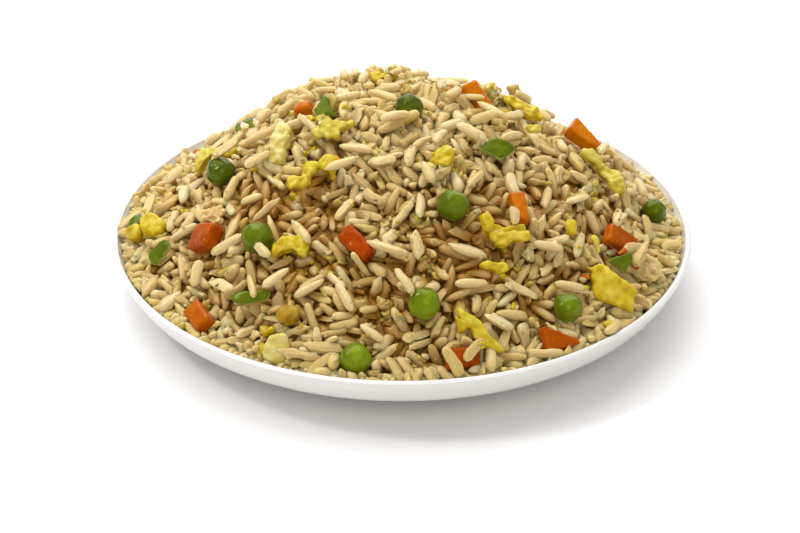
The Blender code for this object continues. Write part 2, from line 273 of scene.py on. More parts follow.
class Obstacle:
    """A topping as grains meet it: its own rounded shape, and a narrower column over it.

    A grain's middle stays out of the column, so grains lap over a topping's edge but leave it in sight.
    """

    def __init__(self, mesh, ground, lap):
        corners = np.array([tuple(vertex.co) for vertex in mesh.vertices]) / MM
        self.middle = (corners.min(0) + corners.max(0)) / 2
        self.up = ground.up(self.middle[:1], self.middle[1:2])[0]
        spread = fibonacci_directions(BODY_DIRECTIONS)
        around = fibonacci_directions(COLUMN_DIRECTIONS)
        around -= np.outer(around @ self.up, self.up)
        around = around[np.linalg.norm(around, axis=1) > 0.5]
        around /= np.linalg.norm(around, axis=1, keepdims=True)
        lean = (corners - self.middle) @ spread.T
        self.body = (spread, lean.max(0) - BODY_SLACK)
        self.column = (around, ((corners - self.middle) @ around.T).max(0) * (1 - lap) - EDGE_LAP)
        self.bound = np.linalg.norm(corners - self.middle, axis=1).max() + REACH_PAST

    def push(self, points, radius, over=False):
        """How far to move each point, for spheres of this radius to clear the topping or its column."""
        directions, reach = self.column if over else self.body
        move = np.zeros_like(points)
        away = points - self.middle
        close = (away**2).sum(1) < self.bound**2
        if over:
            close &= away @ self.up > 0
        near = np.nonzero(close)[0]
        if len(near):
            past = away[near] @ directions.T - reach
            nearest = past.argmax(1)
            depth = radius[near] - past[np.arange(len(near)), nearest]
            inside = depth > 0
            move[near[inside]] = directions[nearest[inside]] * depth[inside, None]
        return move


def lap_over(name):
    """How much of a topping's column grains may lie over."""
    if name in COVERED:
        return COVERED_LAP
    return EGG_LAP if name.startswith("egg") else 0.0


def fibonacci_directions(count):
    """Unit vectors spread evenly over a sphere."""
    turn = np.arange(count) * math.pi * (3 - math.sqrt(5))
    z = 1 - 2 * (np.arange(count) + 0.5) / count
    flat = np.sqrt(1 - z**2)
    return np.stack([flat * np.cos(turn), flat * np.sin(turn), z], -1)


LAID_COUNT = 120  # pale whole grains that lie on top of the heap, where grains show most
LAID_LENGTH, LAID_LENGTH_LIMITS = (8.8, 1.3), (5.5, 10.8)
LAID_WIDTH, LAID_WIDTH_LIMITS = (2.9, 0.2), (2.7, 3.6)
LAID_TONE, LAID_TONE_LIMITS = (0.76, 0.09), (0.45, 0.92)
LAID_HEIGHT = 0.4  # of their middles over the heap's skin
LAID_REACH = 72.0  # from the plate's middle
LAID_SPACING = 8.0  # between their middles
LAID_CLEARANCE = 3.0  # from a topping's column, looked at this high over the skin
LIFT_STEP, LIFT_STEPS = 0.25, 16  # to raise one that would start inside a topping


class Grains:
    """Rods with round ends: two end points each, a radius, and what they will look like."""

    def __init__(self, rng, ground):
        count = GRAIN_COUNT
        self.length = np.clip(rng.normal(*GRAIN_LENGTH, count), *GRAIN_LENGTH_LIMITS)
        self.width = np.clip(rng.normal(*GRAIN_WIDTH, count), *GRAIN_WIDTH_LIMITS)
        shares = (1 - SPLIT_SHARE - BROKEN_SHARE, SPLIT_SHARE, BROKEN_SHARE)
        self.kind = rng.choice(("whole", "split", "broken"), count, p=shares)
        broken = self.kind == "broken"
        self.length[broken] *= rng.uniform(*BROKEN_LENGTH, broken.sum())
        self.tone = np.clip(rng.normal(*BROWNED_TONE, count), 0, 1)
        pale = rng.random(count) < PALE_SHARE
        self.tone[pale] = np.clip(rng.normal(*PALE_TONE, pale.sum()), 0, 1)
        stained = rng.random(count) < STAINED_SHARE
        self.tone = np.where(stained, STAINED_TONE, np.maximum(self.tone, LOWEST_TONE))
        self.radius = self.width * CLOSENESS
        self.rise = np.minimum(rng.exponential(RISE, count), RISE_LIMIT)
        self.half = np.maximum(self.length / 2 - self.radius, SHORTEST_HALF)
        self.drop_in(rng, ground)

    def free_spots(self, ground, obstacles):
        """Which grains to lay on top: spread apart, inside the reach and clear of the toppings."""
        spots = self.middles()
        spots[:, 2] = ground.skin(spots[:, 0], spots[:, 1]) + LAID_CLEARANCE
        clear = np.hypot(spots[:, 0], spots[:, 1]) < LAID_REACH
        for obstacle in obstacles:
            clear &= ~obstacle.push(spots, np.full(len(spots), LAID_CLEARANCE), over=True).any(1)
        chosen = []
        for index in np.nonzero(clear)[0]:
            apart = np.linalg.norm(spots[chosen, :2] - spots[index, :2], axis=1)
            if (apart > LAID_SPACING).all():
                chosen.append(index)
            if len(chosen) == LAID_COUNT:
                break
        return np.array(chosen)

    def lay(self, rng, ground, obstacles):
        """Lay some grains on top of the heap: they stay there while the others settle round them."""
        laid = self.free_spots(ground, obstacles)
        count = len(laid)
        length = np.clip(rng.normal(*LAID_LENGTH, count), *LAID_LENGTH_LIMITS)
        width = np.clip(rng.normal(*LAID_WIDTH, count), *LAID_WIDTH_LIMITS)
        self.length[laid], self.width[laid], self.kind[laid] = length, width, "whole"
        self.tone[laid] = np.clip(rng.normal(*LAID_TONE, count), *LAID_TONE_LIMITS)
        self.radius[laid] = radius = width * CLOSENESS
        self.half[laid] = np.maximum(length / 2 - radius, SHORTEST_HALF)
        heading = rng.uniform(0, math.pi, count)
        x, y = self.middles()[laid, :2].T
        up = ground.up(x, y)
        along = np.column_stack([np.cos(heading), np.sin(heading), np.zeros(count)])
        along[:, 2] = -(along * up).sum(1) / up[:, 2]
        along *= (self.half[laid] / np.linalg.norm(along, axis=1))[:, None]
        middle = np.column_stack([x, y, ground.skin(x, y)]) + up * LAID_HEIGHT
        for _ in range(LIFT_STEPS):
            meets = np.zeros(count, bool)
            for obstacle in obstacles:
                for spots in (middle - along, middle, middle + along):
                    meets |= obstacle.push(spots, radius).any(1)
            middle += up * (meets * LIFT_STEP)[:, None]
        self.laid, self.laid_ends = laid, (middle - along, middle + along)
        self.hold()

    def hold(self):
        """Put the grains laid on top back in their places."""
        for ends, places in zip((self.start, self.end), self.laid_ends):
            ends[self.laid] = places

    def seat(self, ground, obstacles):
        """Lower each grain laid on top square to the heap until it meets something."""
        for index in self.laid:
            middle = (self.start[index] + self.end[index]) / 2
            down = ground.up(middle[:1], middle[1:2]) * -SEATING_STEP
            near = np.linalg.norm(self.middles() - middle, axis=1) < SEATING_REACH
            near[index] = False
            near = np.nonzero(near)[0]
            own = np.full(len(near), index)
            for _ in range(SEATING_STEPS):
                along_own, along = self.end[own] - self.start[own], self.end[near] - self.start[near]
                s, t = nearest_on_rods(self.start[own], along_own, self.start[near], along)
                apart = self.start[own] + along_own * s[:, None] - self.start[near] - along * t[:, None]
                touch = np.linalg.norm(apart, axis=1) < self.radius[own] + self.radius[near]
                ends = self.start[index], self.end[index]
                spots = np.stack([*ends, (ends[0] + ends[1]) / 2])
                radius = np.full(3, self.radius[index])
                if touch.any() or any(obstacle.push(spots, radius).any() for obstacle in obstacles):
                    break
                self.start[index] += down[0]
                self.end[index] += down[0]

    def drop_in(self, rng, ground):
        """Scatter the grains evenly over the heap's surface, at heights over the core."""
        count = len(self.length)
        found = np.empty((0, 2))
        while len(found) < count:
            spot = rng.uniform(-SCATTER_REACH, SCATTER_REACH, (count * 2, 2))
            spot = spot[np.hypot(*spot.T) < SCATTER_REACH]
            steep = 1 / ground.up(*spot.T)[:, 2]
            crowded = steep * (1 + CROWN_CROWDING * ground.sample(ground.crown_grid, *spot.T))
            found = np.concatenate([found, spot[rng.random(len(spot)) * MOST_CROWDED < crowded]])
        spot = found[:count]
        up = ground.up(*spot.T)
        base = np.column_stack([spot, ground.floor(*spot.T)])
        middle = base + up * rng.uniform(0.8, RICE_DEPTH * 1.4, count)[:, None]
        aim = rng.normal(size=(count, 3))
        aim -= up * (aim * up).sum(1, keepdims=True) * rng.uniform(-0.15, 0.7, count)[:, None]
        aim /= np.linalg.norm(aim, axis=1, keepdims=True)
        self.start = middle - aim * self.half[:, None]
        self.end = middle + aim * self.half[:, None]

    def middles(self):
        return (self.start + self.end) / 2

    def neighbours(self):
        """Pairs of grains near enough to touch within the next few steps."""
        middle = self.middles().astype(np.float32)
        reach = (self.half + self.radius).astype(np.float32) + NEIGHBOUR_SLACK
        first, second = [], []
        for low in range(0, len(middle), NEIGHBOUR_BLOCK):
            block = slice(low, low + NEIGHBOUR_BLOCK)
            gap = np.linalg.norm(middle[block, None] - middle[None], axis=2)
            near = gap < reach[block, None] + reach[None]
            a, b = np.nonzero(near)
            a += low
            keep = a < b
            first.append(a[keep])
            second.append(b[keep])
        return np.concatenate(first), np.concatenate(second)

    def settle(self, ground, obstacles):
        """Press the grains on the core and push them apart until they lie against each other."""
        for step in range(SETTLE_STEPS):
            if step % NEIGHBOUR_STEPS == 0:
                first, second = self.neighbours()
            ease = 1 - step / SETTLE_STEPS
            middle = self.middles()
            pull = ground.up(middle[:, 0], middle[:, 1]) * (SETTLE_PULL * ease)
            self.start -= pull
            self.end -= pull
            self.push_apart(first, second)
            self.keep_in(ground, obstacles)
            self.restore_lengths()
            self.hold()

    def push_apart(self, first, second):
        """Move the ends of every two rods that cross by half of what they overlap."""
        along_a = self.end[first] - self.start[first]
        along_b = self.end[second] - self.start[second]
        s, t = nearest_on_rods(self.start[first], along_a, self.start[second], along_b)
        apart = self.start[first] + along_a * s[:, None] - self.start[second] - along_b * t[:, None]
        gap = np.linalg.norm(apart, axis=1)
        overlap = self.radius[first] + self.radius[second] - gap
        touch = overlap > 0
        first, second, s, t = first[touch], second[touch], s[touch], t[touch]
        push = apart[touch] / np.maximum(gap[touch], 1e-6)[:, None] * overlap[touch][:, None] / 2
        count = len(self.length)
        moves = np.zeros((2, count, 3))
        share = np.zeros((2, count))
        for grain, place, sign in ((first, s, 1), (second, t, -1)):
            for end, weight in ((0, 1 - place), (1, place)):
                weight = END_SHARE + (1 - END_SHARE) * weight
                for axis in range(3):
                    moves[end, :, axis] += np.bincount(grain, sign * push[:, axis] * weight, count)
                share[end] += np.bincount(grain, weight, count)
        moves /= np.maximum(share, 1.0)[..., None] ** SHARE_POWER
        self.start += moves[0]
        self.end += moves[1]

    def keep_in(self, ground, obstacles):
        """Keep each grain on the core, inside the plate's wall, near the heap's skin and off the toppings."""
        middle = self.middles()
        x, y = middle[:, 0], middle[:, 1]
        up = ground.up(x, y)
        proud = (middle[:, 2] - ground.skin(x, y)) * up[:, 2] + self.radius - self.rise
        upright = np.abs(((self.end - self.start) * up).sum(1)) / 2
        sink = up * (np.maximum(proud + upright * UPRIGHT_SINK, 0) * SINK_RATE)[:, None]
        self.start -= sink
        self.end -= sink
        for ends in (self.start, self.end):
            x, y = ends[:, 0], ends[:, 1]
            up = ground.up(x, y)
            sunk = self.radius - (ends[:, 2] - ground.floor(x, y)) * up[:, 2]
            ends += up * np.maximum(sunk, 0)[:, None]
            out = np.hypot(ends[:, 0], ends[:, 1])
            over = np.maximum(out - (ground.wall(ends[:, 2]) - self.radius - WALL_GAP), 0) / 2
            back = ends[:, :2] * (over / np.maximum(out, 1e-6))[:, None]
            self.start[:, :2] -= back
            self.end[:, :2] -= back
        for obstacle in obstacles:
            self.start += obstacle.push(self.start, self.radius)
            self.end += obstacle.push(self.end, self.radius)
            middle = self.middles()
            shove = obstacle.push(middle, self.radius)
            shove += obstacle.push(middle + shove, self.radius, over=True)
            self.start += shove
            self.end += shove

    def thin(self, rng, ground):
        """Take away some of the top grains."""
        middle = self.middles()
        top = middle[:, 2] > ground.skin(middle[:, 0], middle[:, 1]) - THINNED_DEPTH
        keep = ~(top & (rng.random(len(top)) < THINNED_SHARE))
        keep[self.laid] = True
        for name in ("start", "end", "length", "width", "half", "radius", "tone", "kind"):
            setattr(self, name, getattr(self, name)[keep])

    def restore_lengths(self):
        """Give each rod its own length back."""
        along = self.end - self.start
        size = np.linalg.norm(along, axis=1)
        fix = along * ((1 - 2 * self.half / np.maximum(size, 1e-6)) / 2)[:, None]
        self.start += fix
        self.end -= fix


def nearest_on_rods(start_a, along_a, start_b, along_b):
    """Where on each of two rods, from 0 to 1, the shortest way between them starts and ends."""
    between = start_a - start_b
    a = np.maximum((along_a**2).sum(1), 1e-9)
    e = np.maximum((along_b**2).sum(1), 1e-9)
    b = (along_a * along_b).sum(1)
    c = (along_a * between).sum(1)
    f = (along_b * between).sum(1)
    spread = a * e - b * b
    s = np.where(spread > 1e-6, np.clip((b * f - c * e) / np.maximum(spread, 1e-6), 0, 1), 0.5)
    t = np.clip((b * s + f) / e, 0, 1)
    s = np.clip((b * t - c) / a, 0, 1)
    return s, t


# ---------------------------------------------------------------- shapes of grains


GRAIN_SIDES = 8
SQUARENESS = 2.4  # of a grain's section: 2 is round
CRISP_SIDES = (1, 4, 6)  # sides whose long edge is crisp
CELL_MARGIN = 0.06  # of a cell of the bake map, left free round each shape
RING_PLACES = (-0.94, -0.74, -0.36, 0.02, 0.40, 0.76, 0.95)  # of a grain's half length


def grain_shape(
    name,
    seed,
    blunt=3.6,
    bend=0.0,
    taper=0.0,
    flat=0.06,
    crease=0.08,
    slant=0.0,
    burst=0.0,
    snapped=False,
    rough=0.05,
):
    """One grain, 1 long along X and 1 wide, before it is sized.

    blunt: how square its ends are; bend: its bow; taper: how much slimmer its far end is; flat: how
    angular its section is; crease: depth of the long furrow; slant: how askew its ends are cut; burst:
    how far its end has cooked open; snapped: a broken flat end; rough: small unevenness.
    """
    solid = bmesh.new()
    grain_map = solid.loops.layers.uv.new("grain")
    shift = Vector((seed * 3.7, -seed * 1.3, seed * 0.7))
    loops = []
    for place in RING_PLACES:
        swell = (1 - abs(place) ** blunt) ** 0.5
        if snapped and place > 0:
            swell = (1 - 0.5 * place**8) ** 0.5
        swell *= 1 - taper * place
        open_end = burst * max(place, 0) ** 2
        loop = []
        for side in range(GRAIN_SIDES):
            turn = 2 * math.pi * side / GRAIN_SIDES
            across, above = math.cos(turn), math.sin(turn)
            reach = 0.5 * swell * (1 + flat * math.cos(2 * turn + seed) + flat * math.cos(3 * turn - seed))
            reach *= (abs(across) ** SQUARENESS + abs(above) ** SQUARENESS) ** (-1 / SQUARENESS)
            reach *= 1 + rough * 2 * noise.noise(Vector((place * 2.4, across, above)) + shift)
            reach *= 1 - crease * max(math.cos(turn - 0.6), 0) ** 4
            reach *= 1 + open_end * (0.5 * abs(across) ** 2 - 0.45 * abs(above) ** 2)
            x = place * 0.5 + slant * across * abs(place) ** 5 * 0.5
            loop.append(solid.verts.new((x, reach * across + bend * (place * place - 0.4), reach * above)))
        loops.append(loop)
    rows = len(loops) + 1
    for row, (near, far) in enumerate(zip(loops, loops[1:]), 1):
        for side in range(GRAIN_SIDES):
            after = (side + 1) % GRAIN_SIDES
            face = solid.faces.new((near[side], near[after], far[after], far[side]))
            spots = ((side, row), (side + 1, row), (side + 1, row + 1), (side, row + 1))
            for corner, (u, v) in zip(face.loops, spots):
                corner[grain_map].uv = (u / GRAIN_SIDES, v / rows)
    far_tip = 0.96 if snapped else 1.0
    for loop, place, row, tip_row in ((loops[0], -1.0, 1, 0), (loops[-1], far_tip, rows - 1, rows)):
        dent = 0.12 * burst if place > 0 else 0.0
        tip = solid.verts.new((place * 0.5 - dent, bend * 0.6, 0))
        for side in range(GRAIN_SIDES):
            face = solid.faces.new((loop[(side + 1) % GRAIN_SIDES], loop[side], tip))
            for corner, u, v in zip(face.loops, (side + 1, side, side + 0.5), (row, row, tip_row)):
                corner[grain_map].uv = (u / GRAIN_SIDES, v / rows)
    if snapped or burst or crease > 0.1:
        for near, far in zip(loops, loops[1:]):
            for side in CRISP_SIDES:
                turned = (side + seed) % GRAIN_SIDES
                solid.edges.get((near[turned], far[turned])).smooth = False
    if snapped:
        for side in range(GRAIN_SIDES):
            solid.edges.get((loops[-1][side], loops[-1][(side + 1) % GRAIN_SIDES])).smooth = False
    bmesh.ops.recalc_face_normals(solid, faces=solid.faces)
    mesh = built(name, solid)
    mesh.shade_smooth()
    return bpy.data.objects.new(name, mesh)


def shape_box(name, shapes):
    """A collection of shapes for a scatter to pick from, in the order of their names."""
    box = bpy.data.collections.new(name)
    for shape in shapes:
        box.objects.link(shape)
    return box


def whole_grains():
    return [
        grain_shape("a_straight", 1, bend=0.02, taper=0.06, blunt=3.8, rough=0.10),
        grain_shape("b_curved", 2, bend=0.15, taper=0.10, blunt=3.6, rough=0.10),
        grain_shape("c_plump", 3, bend=0.04, blunt=4.8, rough=0.14, flat=0.08, crease=0.16),
        grain_shape("d_tapered", 4, bend=-0.08, taper=0.22, slant=0.14, blunt=3.6, rough=0.10),
        grain_shape("e_bowed", 5, bend=-0.19, taper=0.08, blunt=3.8, rough=0.10),
        grain_shape("f_uneven", 6, bend=0.08, taper=0.14, blunt=4.2, rough=0.22, flat=0.10, crease=0.14),
        grain_shape("g_cut", 7, bend=0.05, blunt=6.0, slant=0.34, flat=0.12, rough=0.12, crease=0.12),
        grain_shape("h_angular", 8, bend=-0.06, blunt=5.4, slant=-0.28, flat=0.16, crease=0.20, rough=0.14),
        grain_shape("i_slim", 16, bend=0.12, blunt=3.0, taper=0.16, slant=0.16, rough=0.10),
        grain_shape("j_twisted", 17, bend=-0.16, blunt=3.8, taper=-0.16, rough=0.24, flat=0.14, crease=0.14),
    ]


def split_grains():
    return [
        grain_shape("a_open_end", 9, bend=0.08, taper=-0.12, blunt=6.0, burst=0.9, crease=0.26, rough=0.20),
        grain_shape("b_burst", 10, bend=0.04, blunt=7.0, burst=1.3, crease=0.36, rough=0.30),
        grain_shape("c_frayed", 11, bend=-0.12, blunt=6.0, burst=1.0, crease=0.26, rough=0.38, slant=0.35),
        grain_shape("d_swollen", 12, bend=0.02, blunt=7.0, taper=-0.20, crease=0.32, rough=0.30, flat=0.16),
        grain_shape("e_flaked", 18, bend=0.10, blunt=5.0, crease=0.30, rough=0.42, flat=0.22, slant=-0.3),
    ]


def broken_grains():
    return [
        grain_shape("a_half", 13, bend=0.04, blunt=6.0, snapped=True, slant=0.30, flat=0.18, rough=0.20),
        grain_shape("b_end", 14, bend=0.08, taper=0.15, snapped=True, rough=0.30, slant=-0.45, flat=0.16),
        grain_shape("c_bit", 15, blunt=8.0, rough=0.42, flat=0.24, slant=0.4, crease=0.2),
        grain_shape("d_chunk", 19, blunt=7.0, snapped=True, rough=0.36, flat=0.26, slant=0.2, crease=0.3),
    ]


# ---------------------------------------------------------------- scattering by Geometry Nodes


def link(tree, source, target):
    tree.links.new(source, target)


def named_input(tree, kind, name):
    """A Named Attribute node's value."""
    node = tree.nodes.new("GeometryNodeInputNamedAttribute")
    node.data_type = kind
    node.inputs["Name"].default_value = name
    return node.outputs["Attribute"]


def scatter_tree():
    """Puts a shape on each point, as the point's own turn, size and shape say, and joins them."""
    tree = bpy.data.node_groups.new("scatter_food", "GeometryNodeTree")
    face = tree.interface
    face.new_socket("Geometry", in_out="INPUT", socket_type="NodeSocketGeometry")
    face.new_socket("Shapes", in_out="INPUT", socket_type="NodeSocketCollection")
    face.new_socket("Finish", in_out="INPUT", socket_type="NodeSocketMaterial")
    face.new_socket("Geometry", in_out="OUTPUT", socket_type="NodeSocketGeometry")
    start = tree.nodes.new("NodeGroupInput")
    shapes = tree.nodes.new("GeometryNodeCollectionInfo")
    shapes.inputs["Separate Children"].default_value = True
    shapes.inputs["Reset Children"].default_value = True
    points = tree.nodes.new("GeometryNodeMeshToPoints")
    place = tree.nodes.new("GeometryNodeInstanceOnPoints")
    place.inputs["Pick Instance"].default_value = True
    joined = tree.nodes.new("GeometryNodeRealizeInstances")
    finish = tree.nodes.new("GeometryNodeSetMaterial")
    end = tree.nodes.new("NodeGroupOutput")
    link(tree, start.outputs["Geometry"], points.inputs["Mesh"])
    link(tree, start.outputs["Shapes"], shapes.inputs["Collection"])
    link(tree, points.outputs["Points"], place.inputs["Points"])
    link(tree, shapes.outputs["Instances"], place.inputs["Instance"])
    link(tree, named_input(tree, "INT", "shape"), place.inputs["Instance Index"])
    link(tree, named_input(tree, "QUATERNION", "turn"), place.inputs["Rotation"])
    link(tree, named_input(tree, "FLOAT_VECTOR", "size"), place.inputs["Scale"])
    link(tree, place.outputs["Instances"], joined.inputs["Geometry"])
    link(tree, joined.outputs["Geometry"], finish.inputs["Geometry"])
    link(tree, start.outputs["Finish"], finish.inputs["Material"])
    link(tree, finish.outputs["Geometry"], end.inputs["Geometry"])
    return tree


def built(name, solid):
    """A mesh from a bmesh, which is then let go."""
    mesh = bpy.data.meshes.new(name)
    solid.to_mesh(mesh)
    solid.free()
    return mesh


def placed(name, data):
    """A new object in the scene."""
    made = bpy.data.objects.new(name, data)
    bpy.context.scene.collection.objects.link(made)
    return made


def plain_mesh(name, source):
    """A new object that holds an object's evaluated mesh, with no modifier on it."""
    bpy.context.view_layer.update()
    seen = source.evaluated_get(bpy.context.evaluated_depsgraph_get())
    made = placed(name, bpy.data.meshes.new_from_object(seen))
    made.data.name = name
    bpy.data.objects.remove(source)
    return made


def set_inputs(modifier, tree, **values):
    """Set a Geometry Nodes modifier's inputs by their sockets' identifiers."""
    for socket in tree.interface.items_tree:
        if socket.in_out == "INPUT" and socket.name in values:
            modifier[socket.identifier] = values[socket.name]


def scatter(name, tree, shapes, finish, places, turns, sizes, picks, tones):
    """Scatter shapes at places in millimetres and return the joined piece."""
    mesh = bpy.data.meshes.new(name + "_points")
    mesh.from_pydata((places * MM).tolist(), [], [])
    for title, kind, values, field in (
        ("turn", "QUATERNION", turns, "value"),
        ("size", "FLOAT_VECTOR", sizes * MM, "vector"),
        ("shape", "INT", picks, "value"),
        ("tone", "FLOAT", tones, "value"),
        ("cell", "INT", np.arange(len(places), dtype=np.int32), "value"),
    ):
        layer = mesh.attributes.new(title, kind, "POINT")
        layer.data.foreach_set(field, np.ascontiguousarray(values).ravel())
    source = placed(name + "_points", mesh)
    modifier = source.modifiers.new("scatter", "NODES")
    modifier.node_group = tree
    box = shape_box(name + "_shapes", shapes)
    set_inputs(modifier, tree, Shapes=box, Finish=finish)
    piece = plain_mesh(name, source)
    for shape in shapes:
        bpy.data.objects.remove(shape)
    bpy.data.collections.remove(box)
    lay_bake_map(piece)
    return piece


def lay_bake_map(piece):
    """Give each scattered shape its own cell in the piece's bake map."""
    mesh = piece.data
    corners = len(mesh.loops)
    corner_points = np.empty(corners, int)
    mesh.loops.foreach_get("vertex_index", corner_points)
    own = np.empty(len(mesh.vertices), int)
    mesh.attributes["cell"].data.foreach_get("value", own)
    cells = own[corner_points]
    side = math.ceil(math.sqrt(cells.max() + 1))
    place = np.empty(corners * 2)
    mesh.uv_layers["grain"].data.foreach_get("uv", place)
    inner = CELL_MARGIN + place.reshape(-1, 2) * (1 - 2 * CELL_MARGIN)
    baked = (np.column_stack([cells % side, cells // side]) + inner) / side
    layer = mesh.uv_layers.new(name="OFBake", do_init=False)
    layer.data.foreach_set("uv", baked.ravel())
    mesh.uv_layers["grain"].active_render = True


def mark(piece, title, values):
    """Store a value at each point of a piece, for its finish to read; one number marks them all."""
    layer = piece.data.attributes.new(title, "FLOAT", "POINT")
    spread = np.broadcast_to(np.asarray(values, np.float32), len(piece.data.vertices))
    layer.data.foreach_set("value", np.ascontiguousarray(spread))


def mark_depth(piece, ground):
    """Store how deep each point of a piece lies under the heap's outside, in millimetres."""
    points, _ = vertex_arrays(piece)
    mark(piece, "deep", ground.height(points[:, 0], points[:, 1]) - points[:, 2])


def turns_along(directions, rolls):
    """Quaternions that lay X along each direction and turn about it by each roll."""
    turns = np.empty((len(directions), 4))
    for row, (aim, roll) in enumerate(zip(directions, rolls)):
        turn = Vector(aim).to_track_quat("X", "Z") @ Matrix.Rotation(roll, 4, "X").to_quaternion()
        turns[row] = tuple(turn)
    return turns


# ---------------------------------------------------------------- materials


def new_material(name):
    """An empty node material with its Principled shader."""
    made = bpy.data.materials.new(name)
    made.use_nodes = True
    return made, made.node_tree, made.node_tree.nodes["Principled BSDF"]


def shader_node(tree, kind, **settings):
    node = tree.nodes.new(kind)
    for key, value in settings.items():
        if key in node.inputs:
            node.inputs[key].default_value = value
        else:
            setattr(node, key, value)
    return node


def ramp(tree, factor, *stops):
    """A colour ramp over a factor; each stop is a place and a linear colour."""
    node = tree.nodes.new("ShaderNodeValToRGB")
    band = node.color_ramp
    while len(band.elements) < len(stops):
        band.elements.new(0.5)
    for element, (place, colour) in zip(band.elements, stops):
        element.position = place
        element.color = (*colour, 1.0)
    link(tree, factor, node.inputs["Fac"])
    return node.outputs["Color"]


def put(tree, value, socket):
    """Give an input a linear colour, a number or another node's output."""
    if isinstance(value, tuple):
        socket.default_value = (*value, 1.0)
    elif isinstance(value, float):
        socket.default_value = value
    else:
        link(tree, value, socket)


def stored(tree, title):
    """What a piece's points hold under this title."""
    return shader_node(tree, "ShaderNodeAttribute", attribute_name=title).outputs["Fac"]


def ranged(tree, value, low, high, top, **settings):
    """A value between low and high, taken to between 0 and the top."""
    node = shader_node(tree, "ShaderNodeMapRange", **settings)
    ends = {"From Min": low, "From Max": high, "To Max": top, "Value": value}
    for title, end in ends.items():
        put(tree, end, node.inputs[title])
    return node.outputs["Result"]


def mixed(tree, factor, first, second):
    """A colour between two others."""
    node = shader_node(tree, "ShaderNodeMix", data_type="RGBA")
    for socket, value in ((0, factor), (6, first), (7, second)):
        put(tree, value, node.inputs[socket])
    return node.outputs[2]


def mottle_group():
    """Uneven food colour: patches and specks on Object coordinates, and a fine height."""
    tree = bpy.data.node_groups.new("food_mottle", "ShaderNodeTree")
    face = tree.interface
    for name, kind, value in (
        ("Colour", "NodeSocketColor", (1, 1, 1, 1)),
        ("Patch Colour", "NodeSocketColor", (0.5, 0.5, 0.5, 1)),
        ("Patch Scale", "NodeSocketFloat", 200.0),
        ("Patch Amount", "NodeSocketFloat", 0.5),
        ("Speck Colour", "NodeSocketColor", (0.1, 0.05, 0.01, 1)),
        ("Speck Scale", "NodeSocketFloat", 500.0),
        ("Speck Amount", "NodeSocketFloat", 0.1),
    ):
        face.new_socket(name, in_out="INPUT", socket_type=kind).default_value = value
    face.new_socket("Colour", in_out="OUTPUT", socket_type="NodeSocketColor")
    face.new_socket("Height", in_out="OUTPUT", socket_type="NodeSocketFloat")
    start = tree.nodes.new("NodeGroupInput")
    end = tree.nodes.new("NodeGroupOutput")
    where = tree.nodes.new("ShaderNodeTexCoord").outputs["Object"]
    patches = shader_node(tree, "ShaderNodeTexNoise", Detail=4.0, Roughness=0.6)
    specks = shader_node(tree, "ShaderNodeTexNoise", Detail=2.0, Roughness=0.5)
    for node, scale in ((patches, "Patch Scale"), (specks, "Speck Scale")):
        link(tree, where, node.inputs["Vector"])
        link(tree, start.outputs[scale], node.inputs["Scale"])
    colour = start.outputs["Colour"]
    for found, low, high, title in ((patches, 0.38, 0.68, "Patch"), (specks, 0.66, 0.72, "Speck")):
        amount = start.outputs[title + " Amount"]
        share = ranged(tree, found.outputs["Fac"], low, high, amount, interpolation_type="SMOOTHSTEP")
        colour = mixed(tree, share, colour, start.outputs[title + " Colour"])
    link(tree, colour, end.inputs["Colour"])
    link(tree, patches.outputs["Fac"], end.inputs["Height"])
    return tree


def add_mottle(tree, colour, patch, patch_scale, patch_amount, speck, speck_scale, speck_amount):
    """Place the mottle group; a colour may be a socket or a linear colour."""
    node = tree.nodes.new("ShaderNodeGroup")
    node.node_tree = MOTTLE
    values = (colour, patch, patch_scale, patch_amount, speck, speck_scale, speck_amount)
    for socket, value in zip(node.inputs, values):
        put(tree, value, socket)
    return node


def add_bump(tree, shader, height, distance, strength=1.0):
    node = shader_node(tree, "ShaderNodeBump", Distance=distance, Strength=strength)
    link(tree, height, node.inputs["Height"])
    link(tree, node.outputs["Normal"], shader.inputs["Normal"])


def sheen(shader, level, tint, roughness):
    """A moist surface whose reflection takes on the food's own warmth."""
    shader.inputs["Specular IOR Level"].default_value = level
    shader.inputs["Specular Tint"].default_value = (*tint, 1.0)
    shader.inputs["Roughness"].default_value = roughness


def glow(shader, weight, radius, scale=0.001):
    """Light that travels under the surface of moist food."""
    shader.inputs["Subsurface Weight"].default_value = weight
    shader.inputs["Subsurface Radius"].default_value = radius
    shader.inputs["Subsurface Scale"].default_value = scale


